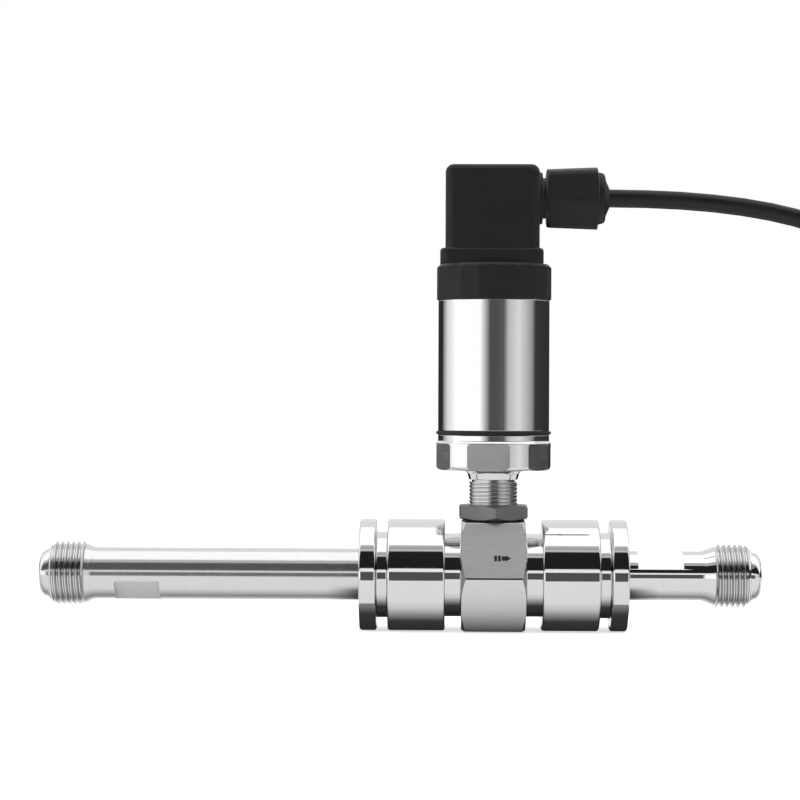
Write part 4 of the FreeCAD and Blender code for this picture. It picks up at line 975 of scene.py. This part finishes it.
def mouldedBlock(name, x0, x1, half, z0, z1, corner, top):
    # A block with rounded corners and a rounded upper rim, its ends measured from the head's axis.
    block = box(name, (headX + x0, -half, z0), (headX + x1, half, z1))
    roundEdges(block, isUpright, corner, 8)
    if top:
        roundEdges(block, lambda edge: isOver(edge, z1), top, 7)
    return block


def makePlug():
    size = plugSize
    low, high = span("plug_housing")[4:]
    left, right, wall, half = -size["left"], size["right"], size["wall"], size["width"] / 2
    shell = mouldedBlock("plug_shell", left, right, half, low, high, size["rounding"], size["topRounding"])
    skirt = mouldedBlock("skirt", left - size["skirtLeft"], right + size["skirtRight"],
                         half + size["skirtSide"], low, low + size["skirtHeight"], size["rounding"],
                         size["skirtRounding"])
    shell = combine(shell, skirt, "UNION")
    inner = headX + right - wall
    bossEnd = headX + right + size["bossLength"]
    neckEnd = bossEnd + size["neckLength"]
    neck = turned("glandNeck", [
        (inner, 0), (inner, size["boss"] / 2), (bossEnd, size["boss"] / 2, size["bossEdge"]),
        (bossEnd, size["neck"] / 2), (neckEnd, size["neck"] / 2), (neckEnd, 0)], "X", glandAxis, steps=96)
    shell = combine(shell, neck, "UNION")
    cavity = mouldedBlock("plugCavity", left + wall, right - wall, half - wall, low - past, high - wall,
                          size["cavityRounding"], 0)
    pillarFoot = high - wall - size["pillarHeight"]
    pillar = rod("plugPillar", size["pillar"] / 2, pillarFoot, high, "Z", headAxis, 48)
    cavity = combine(cavity, pillar, "DIFFERENCE")
    shell = combine(shell, cavity, "DIFFERENCE")
    cableWay = rod("neckBore", size["neckBore"] / 2, inner - past, neckEnd + past, "X", glandAxis, 64)
    shell = combine(shell, cableWay, "DIFFERENCE")
    seat, shank, head = high - size["recessDepth"], size["shank"] / 2, size["recess"] / 2
    recess = turned("screwRecess", [
        (pillarFoot - past, 0), (pillarFoot - past, shank), (seat, shank), (seat, head),
        (high + past, head), (high + past, 0)], "Z", headAxis, steps=64)
    shell = combine(shell, recess, "DIFFERENCE")
    finishPiece(shell, "plug", blackNylon, ["plug_housing"], smoothAngle=35)


def makeGlandNut():
    size = glandSize
    start, end = glandSpan[:2]
    hexEnd = start + size["hexLength"]
    nut = prism("gland_cap", 6, size["across"], start, end, "X", glandAxis, size["turn"])
    roundEdges(nut, lambda edge: runsAlong("X", edge), size["edge"], 6)
    corner = cornerRadius(size["across"], 6) - size["cornerTrim"] * size["edge"]
    envelope = turned("glandEnvelope", [
        (start, 0), (start, corner, size["startRounding"]), (hexEnd, corner, size["endRounding"]),
        (hexEnd + size["shoulder"], size["domeStart"] / 2, size["shoulderRounding"]),
        (end, size["dome"] / 2, size["domeRounding"]), (end, 0)], "X", glandAxis, steps=120)
    nut = combine(nut, envelope, "INTERSECT")
    for vertex in nut.data.vertices:  # moulded with draft, so it narrows towards the plug
        scale = 1 - size["taper"] * 2 * max(hexEnd - vertex.co.x, 0) / size["hexLength"]
        vertex.co.y *= scale
        vertex.co.z = glandZ + (vertex.co.z - glandZ) * scale
    neck, mouth, neckEnd = size["neckClear"] / 2, size["mouth"] / 2, start + size["neckDepth"]
    inside = turned("glandInside", [
        (start - past, 0), (start - past, neck), (neckEnd, neck), (neckEnd, mouth), (end + past, mouth),
        (end + past, 0)], "X", glandAxis, steps=96)
    nut = combine(nut, inside, "DIFFERENCE")
    finishPiece(nut, "gland_nut", blackNylon, ["gland_nut"], smoothAngle=28)


makePlug()
makeGlandNut()

# Cable. It follows the route from its exit, and then the tied hank is wound round by round. In each
# shift, two shares of a round, it moves to the next track, and the last round ends at lastShare.
cable = {
    "diameter": 6.0,
    "route": [(0, 0, 0), (51, 0, 0), (101, 3, -22), (120.5, 9, -66), (123.5, 15.5, -105.3),
              (135.7, 20.3, -123.9), (155, 23, -134.4), (176.3, 24, -134.8)],
    "hankFromHead": 175.45, "foldRadius": 18.0, "waistHalfWidth": 3.0, "waistArcRadius": 36.0,
    "waistHalfLength": 2.0, "pointsPerRound": 44, "shifts": [(0.84, 1.0), (0.74, 0.92), (0.66, 0.84)],
    "lastShare": 0.7, "tail": 26.0,
}
cableExit = Vector((span("gland_seal")[1], 0, glandZ))

# The rubber ring under the lock nut, the seal in the mouth of the gland and the sunk screw.
sealSize = {"bore": 16.1, "edge": 0.12, "nutGap": 0.03, "mouth": 12.8, "shank": 10.2, "shankEnd": 6.0,
            "noseLength": 1.4, "noseWall": 0.3, "noseStart": 0.4, "noseEdge": 0.1, "cableBore": 6.02}
screwSize = {"head": 5.5, "headHeight": 3.0, "shank": 3.0, "tipRounding": 0.3, "slot": 0.8,
             "slotDepth": 1.2, "edge": 0.35}


def makeBarrelSeal():
    shape = span("pickup_seal")
    out, low, high = shape[1] - headX, shape[4], shape[5] - sealSize["nutGap"]
    bore, edge = sealSize["bore"] / 2, sealSize["edge"]
    ring = turned("barrel_seal", [(low, bore), (low, out, edge), (high, out, edge), (high, bore)],
                  "Z", headAxis, steps=96)
    finishPiece(ring, "meter", blackRubber, ["pickup_seal"])


def makeGlandSeal():
    size = sealSize
    shape = span("gland_seal")
    axis = (0, 0, (shape[4] + shape[5]) / 2)
    start, end = shape[:2]
    flange, nose = start + size["shankEnd"], end - size["noseLength"]
    inner, shank, mouth = size["cableBore"] / 2, size["shank"] / 2, size["mouth"] / 2
    seal = turned("gland_collar", [
        (start, inner), (start, shank), (flange, shank), (flange, mouth), (nose, mouth, size["noseStart"]),
        (end, cable["diameter"] / 2 + size["noseWall"], size["noseEdge"]), (end, inner)],
        "X", axis, steps=96)
    finishPiece(seal, "plug", blackRubber, ["gland_seal"])


def makeScrew():
    size = screwSize
    low, high = span("plug_screw")[4:]
    head, shank, slot = size["head"] / 2, size["shank"] / 2, size["slot"] / 2
    seat = high - size["headHeight"]
    screw = turned("plug_fastener", [
        (low, 0), (low, shank, size["tipRounding"]), (seat, shank), (seat, head),
        (high, head, size["edge"]), (high, 0)], "Z", headAxis, steps=48)
    cutter = box("screwSlot", (headX - head - past, -slot, high - size["slotDepth"]),
                 (headX + head + past, slot, high + past))
    screw = combine(screw, cutter, "DIFFERENCE")
    finishPiece(screw, "plug_screw", satinSteel, ["plug_screw"])


makeBarrelSeal()
makeGlandSeal()
makeScrew()
print("plug made")


def hankPoint(offset, share):
    # A point on one round of the waisted hank, this far outside the innermost round. Share 0 is the
    # top of the right fold, and the cable goes clockwise seen from above.
    fold = cable["foldRadius"] + offset
    waist = cable["waistHalfWidth"] + offset
    arc = cable["waistArcRadius"] - offset
    flat = cable["waistHalfLength"]
    step = math.sqrt((fold + arc) ** 2 - (waist + arc) ** 2)
    centre = flat + step
    angle = math.atan2(step, waist + arc)
    lengths = [fold * (math.pi + angle), arc * angle, 2 * flat, arc * angle, fold * angle]
    along = (share % 1) * 2 * sum(lengths)
    way = 1
    if along > sum(lengths):  # the second half is the first one turned about the middle
        along -= sum(lengths)
        way = -1
    part = 0
    while part < 4 and along > lengths[part]:
        along -= lengths[part]
        part += 1
    if part == 0:
        x, y = centre + fold * math.sin(along / fold), fold * math.cos(along / fold)
    elif part == 1:
        turn = angle - along / arc
        x, y = flat + arc * math.sin(turn), -(waist + arc) + arc * math.cos(turn)
    elif part == 2:
        x, y = flat - along, -waist
    elif part == 3:
        turn = along / arc
        x, y = -flat - arc * math.sin(turn), -(waist + arc) + arc * math.cos(turn)
    else:
        turn = angle - along / fold
        x, y = -centre + fold * math.sin(turn), -fold * math.cos(turn)
    return headX + cable["hankFromHead"] + way * x, way * y


def eased(value, low, high):  # 0 below low, 1 above high, smooth between
    share = min(max((value - low) / (high - low), 0), 1)
    return (1 - math.cos(math.pi * share)) / 2


def cablePoints():
    # The route without its last point, where the hank takes over, the rounds of the hank from track
    # to track, and the straight tail.
    diameter, count = cable["diameter"], cable["pointsPerRound"]
    upper, lower = floorZ + 1.5 * diameter, floorZ + 0.5 * diameter
    tracks = [(diameter, upper), (0, upper), (0, lower), (diameter, lower)]
    points = [cableExit + Vector(step) for step in cable["route"][:-1]]
    for lap, (offset, height) in enumerate(tracks):
        isLast = lap == len(tracks) - 1
        for i in range(count):
            share = i / count
            if isLast and share >= cable["lastShare"]:
                break
            out, level = offset, height
            if not isLast:
                moved = eased(share, *cable["shifts"][lap])
                out += moved * (tracks[lap + 1][0] - out)
                level += moved * (tracks[lap + 1][1] - level)
            x, y = hankPoint(out, share)
            points.append(Vector((x, y, level)))
    tailStart = points[-1]
    points += [tailStart + Vector((cable["tail"] * part / 3, 0, 0)) for part in (1, 2, 3)]
    return points


def sweep(name, points, radius, around, along):  # a smooth tube, with its number of steps each way
    curve = bpy.data.curves.new(name, "CURVE")
    curve.dimensions = "3D"
    curve.bevel_depth = radius
    curve.bevel_resolution = around
    curve.resolution_u = along
    curve.use_fill_caps = True
    spline = curve.splines.new("NURBS")
    spline.points.add(len(points) - 1)
    for target, point in zip(spline.points, points):
        target.co = (*point, 1)
    spline.order_u = 3
    spline.use_endpoint_u = True
    tube = bpy.data.objects.new(name, curve)
    bpy.context.scene.collection.objects.link(tube)
    return tube


def lengthAlong(tube):  # measured on the line in its middle
    curve = tube.data.copy()
    curve.bevel_depth = 0
    probe = bpy.data.objects.new("probe", curve)
    bpy.context.scene.collection.objects.link(probe)
    line = bpy.data.meshes.new_from_object(probe)
    length = 0
    for edge in line.edges:
        first, last = edge.vertices
        length += (line.vertices[first].co - line.vertices[last].co).length
    bpy.data.objects.remove(probe)
    bpy.data.meshes.remove(line)
    return length


cableLine = cablePoints()
signalCable = sweep("signal_cable", [point * mm for point in cableLine], cable["diameter"] / 2 * mm, 7, 8)
signalCable.data.materials.append(cableSheath)
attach(signalCable, "plug")
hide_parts("cable_run", "cable_hank", "cable_tail")
signalCable.visible_glossy = False  # the polished pipe shows only the studio, as in the photograph
cableLength = lengthAlong(signalCable)
print("cable length", round(cableLength, 4))

# A tie holds the middle of the hank, and three stripped cores with ferrules end the cable.
tieSize = {"width": 8.0, "thickness": 0.8, "corner": 2.2, "edge": 0.15}
coreSize = {"diameter": 1.9, "length": 24.0, "spread": 3.75, "tipSpread": 0.6, "gap": 0.2, "ferrule": 1.3,
            "ferruleLength": 7.0, "collar": 1.9, "collarLength": 2.2, "rounding": 0.2}
coreColours = {"blue": (-1, blueCore), "black": (0, blackCore), "brown": (1, brownCore)}  # from the front


def makeTie():
    shape = span("hank_tie")
    middle, half, low, high = (shape[0] + shape[1]) / 2, shape[3], shape[4], shape[5]
    wide, thick, corner = tieSize["width"] / 2, tieSize["thickness"], tieSize["corner"]
    inside = high - thick
    band = box("cable_tie", (middle - wide, -half, low), (middle + wide, half, high))
    roundEdges(band, lambda edge: isOver(edge, high) and runsAlong("X", edge), corner, 8)
    hollow = box("tieHollow", (middle - wide - past, -half + thick, low - past),
                 (middle + wide + past, half - thick, inside))
    roundEdges(hollow, lambda edge: isOver(edge, inside) and runsAlong("X", edge), corner - thick, 8)
    band = combine(band, hollow, "DIFFERENCE")
    softenEdges(band, tieSize["edge"])
    return finishPiece(band, "plug", blackNylon, ["hank_tie"])


def makeCore(colourName, way, material):  # a core that spreads to one side, and its ferrule
    size = coreSize
    start = cableLine[-1] + Vector((size["gap"], 0, 0))
    aside = way * size["spread"]
    path = [start + Vector((0, way * size["diameter"], 0)), start + Vector((size["length"] / 2, aside, 0)),
            start + Vector((size["length"], aside + way * size["tipSpread"], 0))]
    wire = sweep("core_" + colourName, path, size["diameter"] / 2, 5, 12)
    makeActive(wire)
    bpy.ops.object.convert(target="MESH")
    collar, tip, soft = size["collar"] / 2, size["ferrule"] / 2, size["rounding"]
    ferrule = turned("ferrule_" + colourName, [
        (0, 0), (0, collar, soft), (size["collarLength"], collar, soft), (size["collarLength"], tip),
        (size["ferruleLength"], tip, soft), (size["ferruleLength"], 0)], steps=32)
    aim = (path[2] - path[1]).normalized()
    turn = Vector((1, 0, 0)).rotation_difference(aim).to_matrix().to_4x4()
    ferrule.data.transform(Matrix.Translation(path[2]) @ turn)

    def onCollar(face):
        return (face.center - path[2]).dot(aim) < size["collarLength"] + tolerance

    finishPiece(ferrule, "plug", tinnedBrass, [], painted=[(material, onCollar)])
    finishPiece(wire, "plug", material, ["core_ends"] if way == 0 else [])
    return ferrule, wire


cordPieces = [makeTie()]
for colourName, (way, material) in coreColours.items():
    cordPieces += makeCore(colourName, way, material)
print("tie and core ends made")
print("cable laid")
